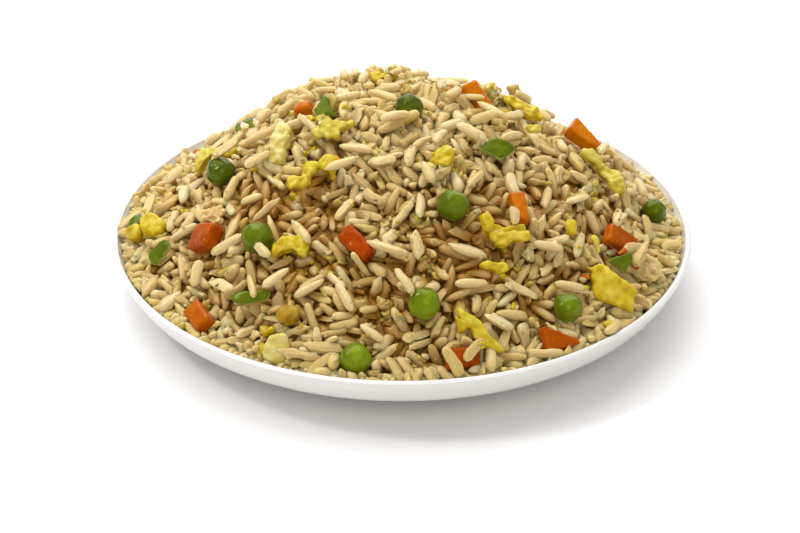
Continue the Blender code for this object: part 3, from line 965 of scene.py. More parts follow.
def furrow_group():
    """Fine lengthwise ribs and small dents of a cooked grain, read from its own map and place."""
    tree = bpy.data.node_groups.new("grain_furrows", "ShaderNodeTree")
    face = tree.interface
    face.new_socket("Tone", in_out="INPUT", socket_type="NodeSocketFloat")
    face.new_socket("Height", in_out="OUTPUT", socket_type="NodeSocketFloat")
    start = tree.nodes.new("NodeGroupInput")
    end = tree.nodes.new("NodeGroupOutput")
    split = tree.nodes.new("ShaderNodeSeparateXYZ")
    link(tree, shader_node(tree, "ShaderNodeUVMap", uv_map="grain").outputs["UV"], split.inputs["Vector"])
    turn = shader_node(tree, "ShaderNodeMath", operation="MULTIPLY")
    turn.inputs[1].default_value = 2 * math.pi
    link(tree, split.outputs["X"], turn.inputs[0])
    place = tree.nodes.new("ShaderNodeCombineXYZ")
    for way, socket in (("COSINE", "X"), ("SINE", "Y")):
        node = shader_node(tree, "ShaderNodeMath", operation=way)
        link(tree, turn.outputs[0], node.inputs[0])
        link(tree, node.outputs[0], place.inputs[socket])
    own = shader_node(tree, "ShaderNodeMath", operation="MULTIPLY_ADD")
    own.inputs[1].default_value = 90.0
    link(tree, start.outputs["Tone"], own.inputs[0])
    link(tree, split.outputs["Y"], own.inputs[2])
    link(tree, own.outputs[0], place.inputs["Z"])
    ribs = shader_node(tree, "ShaderNodeTexNoise", Scale=2.2, Detail=3.0, Roughness=0.6)
    link(tree, place.outputs["Vector"], ribs.inputs["Vector"])
    dents = shader_node(tree, "ShaderNodeTexNoise", Scale=750.0, Detail=4.0, Roughness=0.62)
    link(tree, tree.nodes.new("ShaderNodeTexCoord").outputs["Object"], dents.inputs["Vector"])
    both = shader_node(tree, "ShaderNodeMath", operation="MULTIPLY_ADD")
    both.inputs[1].default_value = 0.8
    link(tree, ribs.outputs["Fac"], both.inputs[0])
    link(tree, dents.outputs["Fac"], both.inputs[2])
    link(tree, both.outputs[0], end.inputs["Height"])
    return tree


def rice_finish(name, clear):
    """Cooked rice browned with soy: tone runs from browned to pale, and deeper grains get painted shade,
    darker and browner.

    clear: how much light passes through it.
    """
    made, tree, shader = new_material(name)
    tone = stored(tree, "tone")
    furrows = shader_node(tree, "ShaderNodeGroup", node_tree=FURROWS)
    link(tree, tone, furrows.inputs["Tone"])
    colour = ramp(
        tree,
        tone,
        (0.10, (0.60, 0.46, 0.14)),
        (0.20, (0.52, 0.365, 0.125)),
        (0.38, (0.61, 0.455, 0.180)),
        (0.65, (0.675, 0.53, 0.245)),
        (1.0, (0.76, 0.645, 0.375)),
    )
    # painted highlight: the high ridges of the grain's bump are lightened towards a pale cream
    painted_highlight_share = ranged(tree, furrows.outputs["Height"], 0.75, 1.25, 0.16)
    painted_highlight = mixed(tree, painted_highlight_share, colour, (0.84, 0.75, 0.54))
    mottle = add_mottle(
        tree, painted_highlight, (0.60, 0.44, 0.16), 260.0, 0.35, (0.24, 0.11, 0.02), 520.0, 0.25
    )
    # painted shade: the deeper a point lies under the heap's outside, the more it is darkened towards a dark
    # brown, for the shade between grains
    under = ranged(tree, stored(tree, "deep"), 2.2, 5.2, 0.92)
    colour_with_painted_shade = mixed(tree, under, mottle.outputs["Colour"], (0.36, 0.165, 0.010))
    link(tree, colour_with_painted_shade, shader.inputs["Base Color"])
    sheen(shader, 0.34, (1.0, 0.88, 0.64), 0.24)
    glow(shader, clear, (1.0, 0.74, 0.44), 0.0020)
    add_bump(tree, shader, furrows.outputs["Height"], 0.00022, 1.0)
    return made


def toasted_finish():
    """Flecks of browned soy and pepper."""
    made, tree, shader = new_material("toasted_finish")
    mottle = add_mottle(
        tree, (0.12, 0.05, 0.010), (0.22, 0.10, 0.02), 900.0, 0.8, (0.03, 0.012, 0.004), 900.0, 0.6
    )
    link(tree, mottle.outputs["Colour"], shader.inputs["Base Color"])
    shader.inputs["Roughness"].default_value = 0.45
    return made


def core_finish():
    """The rice under the loose grains, deep in shade: painted dark brown as painted shade, and uneven."""
    made, tree, shader = new_material("core_finish")
    mottle = add_mottle(
        tree, (0.36, 0.18, 0.018), (0.20, 0.08, 0.006), 320.0, 0.8, (0.46, 0.28, 0.05), 500.0, 0.6
    )
    link(tree, mottle.outputs["Colour"], shader.inputs["Base Color"])
    sheen(shader, 0.2, (1.0, 0.7, 0.3), 0.5)
    add_bump(tree, shader, mottle.outputs["Height"], 0.0006)
    return made


def pea_finish():
    """A cooked pea's skin: green with a yellower blush, moist."""
    made, tree, shader = new_material("pea_finish")
    bright = stored(tree, "bright")
    colour = ramp(tree, bright, (0.0, (0.050, 0.070, 0.001)), (1.0, (0.10, 0.145, 0.001)))
    blush = ramp(tree, bright, (0.0, (0.105, 0.145, 0.002)), (1.0, (0.23, 0.31, 0.006)))
    mottle = add_mottle(tree, colour, blush, 110.0, 0.8, (0.04, 0.06, 0.001), 700.0, 0.35)
    link(tree, mottle.outputs["Colour"], shader.inputs["Base Color"])
    sheen(shader, 0.36, (0.85, 1.0, 0.30), 0.17)
    glow(shader, 0.3, (0.8, 0.9, 0.2), 0.0012)
    add_bump(tree, shader, mottle.outputs["Height"], 0.0002)
    return made


def carrot_finish():
    """Cut cooked carrot: orange with a paler, streaky core."""
    made, tree, shader = new_material("carrot_finish")
    bright = stored(tree, "bright")
    colour = ramp(tree, bright, (0.0, (0.30, 0.030, 0.0005)), (1.0, (0.52, 0.135, 0.001)))
    core = ramp(tree, bright, (0.0, (0.42, 0.058, 0.001)), (1.0, (0.68, 0.230, 0.005)))
    mottle = add_mottle(tree, colour, core, 160.0, 0.75, (0.24, 0.034, 0.001), 800.0, 0.4)
    link(tree, mottle.outputs["Colour"], shader.inputs["Base Color"])
    sheen(shader, 0.30, (1.0, 0.55, 0.12), 0.20)
    glow(shader, 0.4, (1.0, 0.5, 0.2), 0.0015)
    add_bump(tree, shader, mottle.outputs["Height"], 0.00015)
    return made


def pepper_finish():
    """Green pepper: dark waxy skin on its outer side, paler flesh on cut sides."""
    made, tree, shader = new_material("pepper_finish")
    skin = stored(tree, "skin")
    colour = ramp(tree, skin, (0.2, (0.36, 0.40, 0.10)), (0.55, (0.080, 0.115, 0.002)))
    mottle = add_mottle(
        tree, colour, (0.13, 0.17, 0.006), 200.0, 0.6, (0.04, 0.06, 0.001), 600.0, 0.3
    )
    link(tree, mottle.outputs["Colour"], shader.inputs["Base Color"])
    sheen(shader, 0.34, (0.85, 1.0, 0.25), 0.26)
    glow(shader, 0.12, (0.6, 0.8, 0.1), 0.0008)
    add_bump(tree, shader, mottle.outputs["Height"], 0.0003)
    return made


def egg_finish(name, low, high, edge):
    """Scrambled egg: painted shade, a deeper yellow, in the folds; painted light, brighter, on the rises and
    tops; browned flecks.
    """
    made, tree, shader = new_material(name)
    # painted shade and light: the dark colour goes in folds and creases, the light one on rises and sides
    # facing up
    colour = ramp(tree, stored(tree, "fold_shade"), (0.1, low), (0.5, high), (0.95, edge))
    mottle = add_mottle(tree, colour, low, 200.0, 0.4, (0.42, 0.22, 0.012), 430.0, 0.3)
    link(tree, mottle.outputs["Colour"], shader.inputs["Base Color"])
    sheen(shader, 0.38, (1.0, 0.88, 0.36), 0.26)
    glow(shader, 0.6, (1.0, 0.80, 0.30), 0.0018)
    fine = shader_node(tree, "ShaderNodeTexNoise", Scale=700.0, Detail=4.0)
    link(tree, tree.nodes.new("ShaderNodeTexCoord").outputs["Object"], fine.inputs["Vector"])
    add_bump(tree, shader, fine.outputs["Fac"], 0.0003)
    return made


def porcelain_finish():
    """White glazed porcelain, very slightly uneven in the glaze."""
    made, tree, shader = new_material("porcelain_finish")
    mottle = add_mottle(
        tree, (0.79, 0.77, 0.745), (0.76, 0.74, 0.71), 14.0, 0.6, (0.73, 0.71, 0.68), 300.0, 0.25
    )
    link(tree, mottle.outputs["Colour"], shader.inputs["Base Color"])
    shader.inputs["Roughness"].default_value = 0.16
    shader.inputs["Coat Weight"].default_value = 0.4
    shader.inputs["Coat Roughness"].default_value = 0.05
    add_bump(tree, shader, mottle.outputs["Height"], 0.00004)
    return made


def table_finish():
    """The plain pale surface that the plate stands on."""
    made, _, shader = new_material("table_finish")
    shader.inputs["Base Color"].default_value = (0.92, 0.92, 0.92, 1.0)
    shader.inputs["Roughness"].default_value = 0.7
    shader.inputs["Specular IOR Level"].default_value = 0.2
    return made


# ---------------------------------------------------------------- pieces


def copy_of(node):
    """A CAD node's mesh as a new object, its loose triangles joined."""
    made = placed(node + "_copy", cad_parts[node].data.copy())
    solid = bmesh.new()
    solid.from_mesh(made.data)
    bmesh.ops.remove_doubles(solid, verts=solid.verts, dist=0.00001)
    solid.to_mesh(made.data)
    solid.free()
    made.data.materials.clear()
    return made


def remeshed(name, node, voxel):
    """A CAD node's shape in even small faces, ready to be worked on."""
    return evened(name, copy_of(node), voxel)


def evened(name, source, voxel):
    """Closed shapes grown together in even small faces of this size."""
    even = source.modifiers.new("even", "REMESH")
    even.mode = "VOXEL"
    even.voxel_size = voxel * MM
    even.use_smooth_shade = True
    return plain_mesh(name, source)


def vertex_arrays(piece):
    """A piece's points and the directions its surface faces there, in millimetres."""
    count = len(piece.data.vertices)
    points = np.empty(count * 3, np.float32)
    facing = np.empty(count * 3, np.float32)
    piece.data.vertices.foreach_get("co", points)
    piece.data.vertex_normals.foreach_get("vector", facing)
    return points.reshape(-1, 3).astype(float) / MM, facing.reshape(-1, 3).astype(float)


def write_points(piece, points):
    piece.data.vertices.foreach_set("co", (points * MM).astype(np.float32).ravel())
    piece.data.update()


def smooth_points(piece, points, rounds, amount=0.5):
    """Draw each point towards the middle of its neighbours."""
    count = len(points)
    edges = np.empty(len(piece.data.edges) * 2, int)
    piece.data.edges.foreach_get("vertices", edges)
    first, second = edges.reshape(-1, 2).T
    links = np.maximum(np.bincount(first, minlength=count) + np.bincount(second, minlength=count), 1)
    for _ in range(rounds):
        total = np.empty_like(points)
        for axis in range(3):
            total[:, axis] = np.bincount(first, points[second, axis], count)
            total[:, axis] += np.bincount(second, points[first, axis], count)
        points = points + (total / links[:, None] - points) * amount
    return points


def noise_at(points, size, seed):
    """Smooth noise from -1 to 1 at points, with lumps of about this size."""
    shift = Vector((seed * 5.3, seed * 1.7, -seed * 3.1))
    return np.array([noise.noise(Vector(point) / size + shift) for point in points])


def finish_piece(piece, node, material):
    """Give a piece its material and hand it to the frame."""
    piece.data.materials.clear()
    piece.data.materials.append(material)
    piece.data.shade_smooth()
    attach(piece, BODY)
    if node is not None:
        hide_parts(node)


def make_pea(node, seed, material):
    """A pea with its skin drawn a little tight: shallow wrinkles."""
    piece = remeshed(node + "_skin", node, 0.42)
    points, _ = vertex_arrays(piece)
    points = smooth_points(piece, points, 12)
    middle = points.mean(0)
    reach = np.linalg.norm(points - middle, axis=1)
    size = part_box(node)
    radius = (size[1][0] - size[0][0]) / MM / 2
    away = (points - middle) / reach[:, None]
    round_reach = reach * 0.4 + radius * 0.98 * 0.6
    wrinkle = noise_at(away * radius, 3.4, seed) * 0.42 + noise_at(away * radius, 1.3, seed + 40) * 0.14
    write_points(piece, middle + away * (round_reach + wrinkle)[:, None])
    mark(piece, "bright", BRIGHT_PEAS.get(node, PLAIN_PEA))
    finish_piece(piece, node, material)


def make_carrot(node, seed, material):
    """A knife-cut carrot piece with softened edges and an uneven, slightly torn surface."""
    piece = remeshed(node + "_cut", node, 0.32)
    points, facing = vertex_arrays(piece)
    points = smooth_points(piece, points, 3)
    points += facing * (noise_at(points, 2.6, seed) * 0.20 + noise_at(points, 0.9, seed + 9) * 0.08)[:, None]
    write_points(piece, points)
    mark(piece, "bright", BRIGHT_CARROTS.get(node, PLAIN_CARROT))
    finish_piece(piece, node, material)


def make_pepper(node, seed, material, ground):
    """A slice of green pepper: skin on its outer side, paler flesh on the cut sides."""
    if node in PEPPER_FLAKES:
        piece = flaked(node + "_slice", middle_of(node), PEPPER_FLAKES[node], ground, seed)
    else:
        piece = remeshed(node + "_slice", node, 0.26)
    points, facing = vertex_arrays(piece)
    points = smooth_points(piece, points, 2)
    points += facing * (noise_at(points, 2.4, seed) * 0.16)[:, None]
    write_points(piece, points)
    up = ground.up(points[:, 0], points[:, 1])
    mark(piece, "skin", np.clip((facing * up).sum(1) * 1.4 + 0.1, 0, 1))
    finish_piece(piece, node, material)


FLAKE_VOXEL = 0.24  # the grid that flakes are grown together on

# Each curd is one or more torn flakes: an outline seen from the front (right and up in millimetres
# from the curd's middle), the flake's thickness, how far it stands forward, and its turn to the side.
CURD_FLAKES = {
    "egg_1": [
        ([(-3, 1), (-2.5, 3.5), (-0.5, 6), (1.5, 6), (3, 4), (3, 2), (2, 0), (1.5, -3), (1, -5), (-1, -6),
          (-3, -5.5), (-4, -2)], 4.0, 0, 0),
    ],
    "egg_2": [
        ([(-3, 2.5), (-1, 3.5), (1, 3), (4, 2), (6.5, 2.5), (7, 1.5), (5, 0.5), (3, -0.5), (2.5, -2.5),
          (0.5, -3), (-1.5, -2), (-3.5, 0.5)], 3.0, 0, 0),
        ([(-5.5, 0), (-4, 1.5), (-2.5, 1), (-2, -1), (-3.5, -2.5), (-5, -1.5)], 2.4, -0.4, 0.3),
    ],
    "egg_3": [
        ([(0, 3), (1.5, 3.5), (4, 3), (5, 2), (6, 0.5), (4, -0.5), (3.5, -3), (2.5, -3), (1.5, -1.5),
          (-0.5, -0.5), (-1, 1)], 3.6, 0.4, 0.2),
        ([(-6, 1), (-4.5, 1.5), (-2, 2), (-0.5, 1), (-1.5, -1.5), (-2.5, -2), (-3, -5), (-4, -4.5),
          (-5.5, -3), (-5, -0.5)], 3.0, -0.2, -0.3),
    ],
    "egg_4": [
        ([(-3, 0.5), (-1.5, 2), (0.5, 1.5), (2.5, 2), (3, 0), (1.5, -2), (-0.5, -1.5),
          (-2.5, -2)], 3.0, 0, 0.2),
    ],
    "egg_5": [
        ([(-3.5, 1), (-2, 1), (-0.5, 2), (0, 3), (1.5, 3), (3, 1.5), (3, -0.5), (2, -2.5), (0.5, -3),
          (-2, -3), (-3.5, -1.5), (-2, -0.5)], 3.4, 0, -0.2),
    ],
    "egg_6": [
        ([(-6, 3), (-4.5, 3.5), (-1.5, 2.5), (1, 1), (4, -0.5), (5.5, -2), (5.5, -3.5), (3, -3.5),
          (0, -2.5), (-3, -0.5), (-5, 1)], 2.8, 0, 0),
    ],
    "egg_7": [
        ([(-7, 6), (-5, 6.5), (-3, 6), (-2, 4), (-1, 2), (0, 0.5), (-2, 0.5), (-3, 1.5), (-5, 3),
          (-6.5, 4)], 2.6, 0, 0.3),
        ([(-2, 0), (0, 1), (1.5, 1), (4, -0.5), (5.5, -3), (6, -5.5), (5.5, -7), (3.5, -6.5), (1.5, -5),
          (0, -3)], 2.8, 0.3, -0.3),
    ],
    "egg_8": [
        ([(-2, 2), (-0.5, 3.5), (1, 4), (3.5, 3), (5.5, 1), (6, -0.5), (4, -2.5), (1, -3), (-0.5, -2.5),
          (-1.5, -0.5)], 4.0, 0.2, 0.2),
        ([(-6, -1), (-4.5, 0.5), (-2.5, 1), (-1.5, -0.5), (-2, -3), (-4, -4), (-5.5, -3)], 3.4, 0, -0.3),
    ],
    "egg_9": [
        ([(-5, -2.5), (-4.5, 0), (-3, 1.5), (-1.5, 2.5), (1.5, 2.5), (4, 2), (5, 0.5), (5.5, -1.5),
          (4.5, -3), (3.5, -3.5), (2, -2), (1, -1.5), (-1.5, -2), (-3, -2.5), (-4, -3.5)], 3.4, 0, 0.1),
        ([(0.5, 2), (3, 2.5), (4.5, 1), (4, -1.5), (2, -1), (0.5, 0)], 2.6, 1.2, 0.3),
    ],
    "egg_10": [
        ([(-7, 4.5), (-6, 5.5), (-4.5, 5), (-4, 3), (-3.5, 1), (-5.5, 0), (-6.5, 2)], 2.8, 0.2, 0.3),
        ([(-6, 2.5), (-3, 2.5), (0, 1.5), (3, 2.5), (5.5, 2), (5, 0), (0, -1), (-5, -1)], 2.6, -0.6, 0),
        ([(-5.5, 0), (-2.5, -0.5), (0.5, 0), (5, 0.5), (6.5, -0.5), (7, -2), (5, -2.5), (2, -3), (0, -4),
          (-2, -4), (-3.5, -2.5)], 3.4, 0.8, 0),
    ],
    "egg_11": [
        ([(-6.5, 5.5), (-5.5, 6), (-4.5, 5), (-2.5, 4), (0, 2), (2, -1), (4, -3), (6, -5), (6.5, -6),
          (4.5, -6), (2.5, -5.5), (0, -4.5), (-1.5, -2.5), (-3, 0), (-4.5, 1),
          (-5.5, 2.5)], 3.0, 0.2, -0.1),
        ([(-7, 4), (-6, 3), (-4, 1.5), (-4, 0), (-6, -1), (-6.5, 1)], 2.0, -0.6, 0.2),
    ],
    "egg_12": [
        ([(-7.2, 5.7), (-5.5, 6.3), (-3.5, 7), (-1.5, 6.2), (0, 4.6), (4.6, 1.5), (7, -0.9), (5.9, -2.2),
          (5.7, -6), (3.8, -6.2), (0, -4.6), (-5.2, -3), (-5.9, 1.2), (-6.2, 4.4)], 3.8, 0.2, -0.3),
    ],
    "egg_13": [
        ([(-3.5, -0.5), (-2.5, 1.5), (-1, 3.5), (2, 4), (3.5, 3), (4, 0), (4, -3), (1.5, -4.5), (-1, -4),
          (-3, -3)], 4.4, 0.2, 0.1),
    ],
    "egg_14": [
        ([(-5.5, -1.5), (-5, 0), (-3, 1.5), (-0.5, 1.5), (3, 2), (6, 1.5), (6.5, 0.5), (5, -1), (1.5, -1),
          (-1.5, -1), (-3, -2.5), (-4.5, -5), (-6, -5)], 3.0, 0, 0),
    ],
    "egg_15": [
        ([(-4.5, 0), (-3, 1.5), (-1, 1), (1, 1.5), (3.5, 1), (4.5, -0.5), (2.5, -1.5), (0, -1),
          (-3, -1.5)], 3.0, 0, 0),
    ],
    "egg_16": [
        ([(-4, 0.5), (-2.5, 1.5), (0, 1), (2.5, 1), (4, 0), (3, -1.5), (0.5, -1.5),
          (-2.5, -1)], 2.8, 0, 0),
    ],
}
PEPPER_FLAKES = {
    "pepper_1": [
        ([(0.3, 4.2), (2, 2.4), (3.5, -0.6), (3.4, -2.2), (1.7, -1.8), (0.7, -2.5), (0, -4.4),
          (-1.8, -3.2), (-1.8, -1.4), (-2.7, -0.3), (-1.8, 0.9), (-0.6, 3.1)], 2.2, 0.3, 0.2),
    ],
    "pepper_3": [
        ([(-4.6, -0.4), (-3.1, 1.7), (-1.2, 3), (2, 2.8), (5, 1.2), (5.3, -0.3), (3.5, -2), (1.2, -3),
          (-0.5, -2.1), (-2.4, -1.4)], 2.4, 0, 0),
    ],
    "pepper_6": [
        ([(-3.5, 0.2), (0.8, 1.8), (2.9, 2.8), (3.4, 0.7), (2.1, -1.9), (0.8, -3.2),
          (-0.6, -1.9)], 2.4, 0.3, -0.2),
    ],
    "pepper_4": [
        ([(-2.4, -3), (-2.9, -0.5), (-1.5, 1.4), (0.5, 3), (2, 3.6), (3, 2.4), (2.8, 0.6), (1.6, -0.4),
          (1.9, -1.6), (0.7, -1.8), (0.2, -3.2), (-1.2, -3.6)], 2.2, 0, -0.2),
    ],
    "pepper_5": [
        ([(-5.4, -0.4), (-4, 0.9), (-1.5, 1.4), (1, 1.3), (3, 1.9), (5.2, 1.6), (5.4, 0), (4.2, -1.3),
          (1.5, -1.6), (-1.5, -2.2), (-3.6, -2)], 2.4, 0, 0),
    ],
}
FRONT = Vector((0, -0.86, 0.51))  # the way a flake's outline is seen
FLAKE_RINGS = ((1.0, 0.0), (0.985, 0.4), (0.93, 0.72), (0.80, 0.93), (0.5, 1.0))  # size and rise


def on_curve(before, start, end, after, share):
    """A value between start and end on the smooth curve through all four."""
    bend = (2 * before - 5 * start + 4 * end - after) * share**2
    twist = (3 * start - before - 3 * end + after) * share**3
    return 0.5 * (2 * start + (end - before) * share + bend + twist)


def smooth_loop(points, steps=4):
    """More points along a closed curve through the given ones."""
    count = len(points)
    made = []
    for spot in range(count):
        four = [Vector(points[(spot + shift) % count]) for shift in (-1, 0, 1, 2)]
        made.extend(on_curve(*four, step / steps) for step in range(steps))
    return made


def add_flake(solid, middle, up, outline, thick, forward, turn, seed):
    """Add one closed flake that lies on the heap and shows its outline to the front."""
    facing = (up * 0.5 + FRONT * 0.5).normalized()
    facing = (facing + Vector((turn, 0, 0))).normalized()
    right = Vector((1, 0, 0))
    rise = right.cross(-FRONT)
    loop = smooth_loop([(*point, 0) for point in outline])
    centre = sum(loop, Vector()) / len(loop)

    def place(point, level):
        seen = right * point.x + rise * point.y
        seen -= FRONT * (seen.dot(facing) / FRONT.dot(facing))
        return (middle + seen + facing * level) * MM

    sheets = []
    for side in (1, -1):
        for size, high in FLAKE_RINGS if side == 1 else FLAKE_RINGS[1:]:
            ring = []
            for point in loop:
                ragged = noise.noise(Vector((point.x, point.y, seed * 4.7 + side)) / 0.9) * 0.35
                spot = centre + (point - centre) * size * (1 + ragged * 0.12)
                wave = noise.noise(Vector((spot.x, spot.y, seed)) / 2.6) * 0.7
                ring.append(solid.verts.new(place(spot, forward + side * high * thick / 2 + wave * size)))
            sheets.append((side, size, ring))
    front = [ring for side, size, ring in sheets if side == 1]
    back = [front[0], *(ring for side, size, ring in sheets if side == -1)]
    count = len(loop)
    for rings, flip in ((front, False), (back, True)):
        for outer, inner in zip(rings, rings[1:]):
            for spot in range(count):
                after = (spot + 1) % count
                solid.faces.new((outer[spot], outer[after], inner[after], inner[spot]))
        high = forward + (-1 if flip else 1) * thick / 2
        tip = solid.verts.new(place(centre, high))
        for spot in range(count):
            solid.faces.new((rings[-1][spot], rings[-1][(spot + 1) % count], tip))


def middle_of(node):
    low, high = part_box(node)
    return (low + high) / 2 / MM


def flaked(name, middle, flakes, ground, seed):
    """Flakes of one topping grown together."""
    up = Vector(ground.up(np.array([middle.x]), np.array([middle.y]))[0])
    solid = bmesh.new()
    for flake, (outline, thick, forward, turn) in enumerate(flakes):
        add_flake(solid, middle, up, outline, thick, forward + 0.6, turn, seed + flake * 11)
    bmesh.ops.recalc_face_normals(solid, faces=solid.faces)
    return evened(name, placed(name + "_flakes", built(name + "_flakes", solid)), FLAKE_VOXEL)


def make_egg(node, seed, material, ground, rough=1.0):
    """A curd of egg: torn flakes grown together, with soft folds and small pits."""
    if node in CURD_FLAKES:
        piece = flaked(node + "_curd", middle_of(node), CURD_FLAKES[node], ground, seed)
    else:
        piece = remeshed(node + "_curd", node, 0.26)
    points, facing = vertex_arrays(piece)
    points = smooth_points(piece, points, 2)
    folds = noise_at(points, 2.4, seed + 20) * 0.45
    creases = np.abs(noise_at(points, 3.4, seed + 50)) * -0.8 + 0.16
    pits = noise_at(points, 1.1, seed + 60) * 0.24
    points += facing * ((folds + creases + pits) * rough)[:, None]
    write_points(piece, points)
    # painted shade and light: lower in folds and creases, higher on rises and on sides that face up
    mark(piece, "fold_shade", np.clip(0.46 + folds + creases * 0.7 + facing[:, 2] * 0.18, 0, 1))
    finish_piece(piece, node, material)


# the dark colour is painted shade in the folds and the light one painted light on rises and tops
EGG_COLOURS = (  # the finish's name, and its dark, middle and light colour
    ("yellow", "egg_finish", (0.42, 0.26, 0.004), (0.588, 0.437, 0.012), (0.722, 0.605, 0.084)),
    ("light", "egg_light_finish", (0.43, 0.31, 0.017), (0.602, 0.49, 0.052), (0.74, 0.662, 0.189)),
    ("cream", "egg_white_finish", (0.521, 0.378, 0.059), (0.655, 0.554, 0.168), (0.756, 0.689, 0.353)),
    ("browned", "egg_browned_finish", (0.396, 0.267, 0.043), (0.533, 0.404, 0.095), (0.654, 0.55, 0.215)),
    ("golden", "corn_finish", (0.285, 0.143, 0.002), (0.372, 0.211, 0.006), (0.459, 0.31, 0.031)),
)


def egg_finishes():
    """Yolk-yellow curds, pale curds with more white, and the golden hull of corn."""
    return {
        kind: egg_finish(title, dark, middle, light)
        for kind, title, dark, middle, light in EGG_COLOURS
    }


def make_toppings(ground, egg):
    """Every topping of the frame, worked over and finished."""
    green = pea_finish()
    orange = carrot_finish()
    pepper = pepper_finish()
    for seed, node in enumerate(toppings()):
        kind = node.split("_")[0]
        if kind == "pea":
            make_pea(node, seed, green)
        elif kind == "carrot":
            make_carrot(node, seed, orange)
        elif kind == "pepper":
            make_pepper(node, seed, pepper, ground)
        elif kind == "corn":
            make_egg(node, seed, egg["golden"], ground, rough=0.3)
        else:
            finish = "cream" if node in PALE_CURDS else "light" if node in LIGHT_CURDS else "yellow"
            make_egg(node, seed, egg[finish], ground, rough=0.4 if node in SMOOTH_CURDS else 1.0)
    return {"carrot": orange, "pepper": pepper}


# Small pieces too small for a node of their own: the finish, where on the plan, and their flakes
EXTRAS = (
    ("pale_chip", "pepper_pale", (-26, 36.0),
     [([(-2, 0.2), (-1, 1.6), (0.6, 0.4), (2.1, -0.7), (1.6, -1.6), (0, -0.6)], 1.6, 0.2, 0)]),
    ("carrot_sliver_back", "carrot", (-63, 43),
     [([(-1.6, -0.8), (-0.8, 1.1), (1.0, 1.3), (1.7, 0), (0.4, -1.2)], 1.8, 0.6, 0)]),
    ("carrot_sliver_front", "carrot", (61, -45.5),
     [([(-1.8, -1.6), (-0.6, 0.4), (1.8, 1.4), (2.0, 0.2), (0.3, -1.4)], 1.8, 0.6, 0)]),
    ("carrot_strip", "carrot", (65, -33),
     [([(-1.5, 1.5), (-0.6, 1.4), (1.6, -1.0), (1.4, -1.9), (0.2, -1.0)], 1.2, 0.4, 0)]),
    ("curd_nub", "egg", (47, -32.5),
     [([(-1.6, 0.8), (-0.8, 2), (1, 1.6), (1.6, -0.2), (0.8, -2), (-1, -1.8)], 2.4, 0.5, 0)]),
    ("curd_strip", "egg_light", (54, -34),
     [([(-1.4, 2.2), (-0.2, 2.4), (0.8, 0.6), (1.0, -1.6), (0.4, -2.6), (-0.2, -0.6)], 1.5, 0.5, 0)]),
    ("curd_back", "egg_light", (37.5, -0.5),
     [([(-2.2, 0.8), (0, 1.4), (2.4, 0.2), (1.6, -1), (-1, -0.8)], 1.8, 0.5, 0)]),
    ("curd_low", "egg", (56.5, -55),
     [([(-1.6, 0.2), (-0.6, 1.3), (1.2, 1.1), (1.7, -0.4), (0.2, -1.3)], 2.2, 0.5, 0)]),
    ("curd_rim", "egg_light", (73, -25),
     [([(-0.9, 1.4), (0.4, 1.8), (1.1, 0), (0.4, -1.6), (-0.8, -1)], 1.8, 0.3, 0)]),
    (
        "rice_mash",
        "rice",
        (68, -31),
        [
            ([(-5.5, -1), (-5, 2.4), (-3, 3), (-1.4, 4.6), (0, 3.6), (1.8, 3.8), (3, 1.8), (4.6, 0.6),
              (5, -2), (3.4, -4), (1, -4.6), (-1.5, -3.6), (-3.6, -2.5)], 4.2, 0.6, -0.3),
            ([(-6.6, 0.4), (-4.6, 1.4), (-3.4, 0.2), (-4.4, -1.6), (-6.2, -1.2)], 2.4, 0.8, 0),
        ],
    ),
    (
        "rice_mash_left",
        "rice",
        (-53, -24),
        [
            ([(-3.4, 0.4), (-1.8, 1.8), (0.2, 1.2), (1, -0.4), (-0.8, -1.8), (-2.8, -1.4)], 2.6, 1.0, 0),
            ([(-0.6, 1.4), (1.2, 2.6), (3, 1.6), (2.6, -0.2), (0.6, -0.6)], 2.4, 1.4, 0.3),
            ([(0, -0.2), (2.2, 0), (3.4, -1.6), (1.8, -2.8), (-0.4, -2)], 2.4, 0.8, -0.3),
        ],
    ),
)


PALE_GREENS = ((0.30, 0.36, 0.07), (0.46, 0.52, 0.16), (0.6, 0.64, 0.28))  # dark, middle and light
EXTRA_LEVELS = {"skin": 0.12, "fold_shade": 0.6, "tone": 0.5, "bright": 0.5}  # what their finishes read


def make_extras(ground, finishes):
    """The chips, slivers and mashed lumps that are seen among the grains."""
    made = []
    for seed, (name, kind, (x, y), flakes) in enumerate(EXTRAS):
        spot = np.array([x]), np.array([y])
        middle = Vector((x, y, float(ground.skin(*spot)[0]) - 0.8))
        piece = flaked(name, middle, flakes, ground, seed + 300)
        points, facing = vertex_arrays(piece)
        lumps = noise_at(points, 1.8, seed) * 0.5 + noise_at(points, 0.8, seed) * 0.25
        if kind == "rice":
            lumps = lumps * 1.4 + np.abs(noise_at(points, 2.8, seed + 9)) * 1.6 - 0.5
        points += facing * lumps[:, None]
        write_points(piece, smooth_points(piece, points, 1))
        for title, level in EXTRA_LEVELS.items():
            mark(piece, title, level)
        mark_depth(piece, ground)
        finish_piece(piece, None, finishes[kind])
        made.append(piece)
    return made


CORE_SIDES, CORE_RINGS = 180, 56
CORE_LUMPS = (2.6, 0.9)  # width and height of its lumps


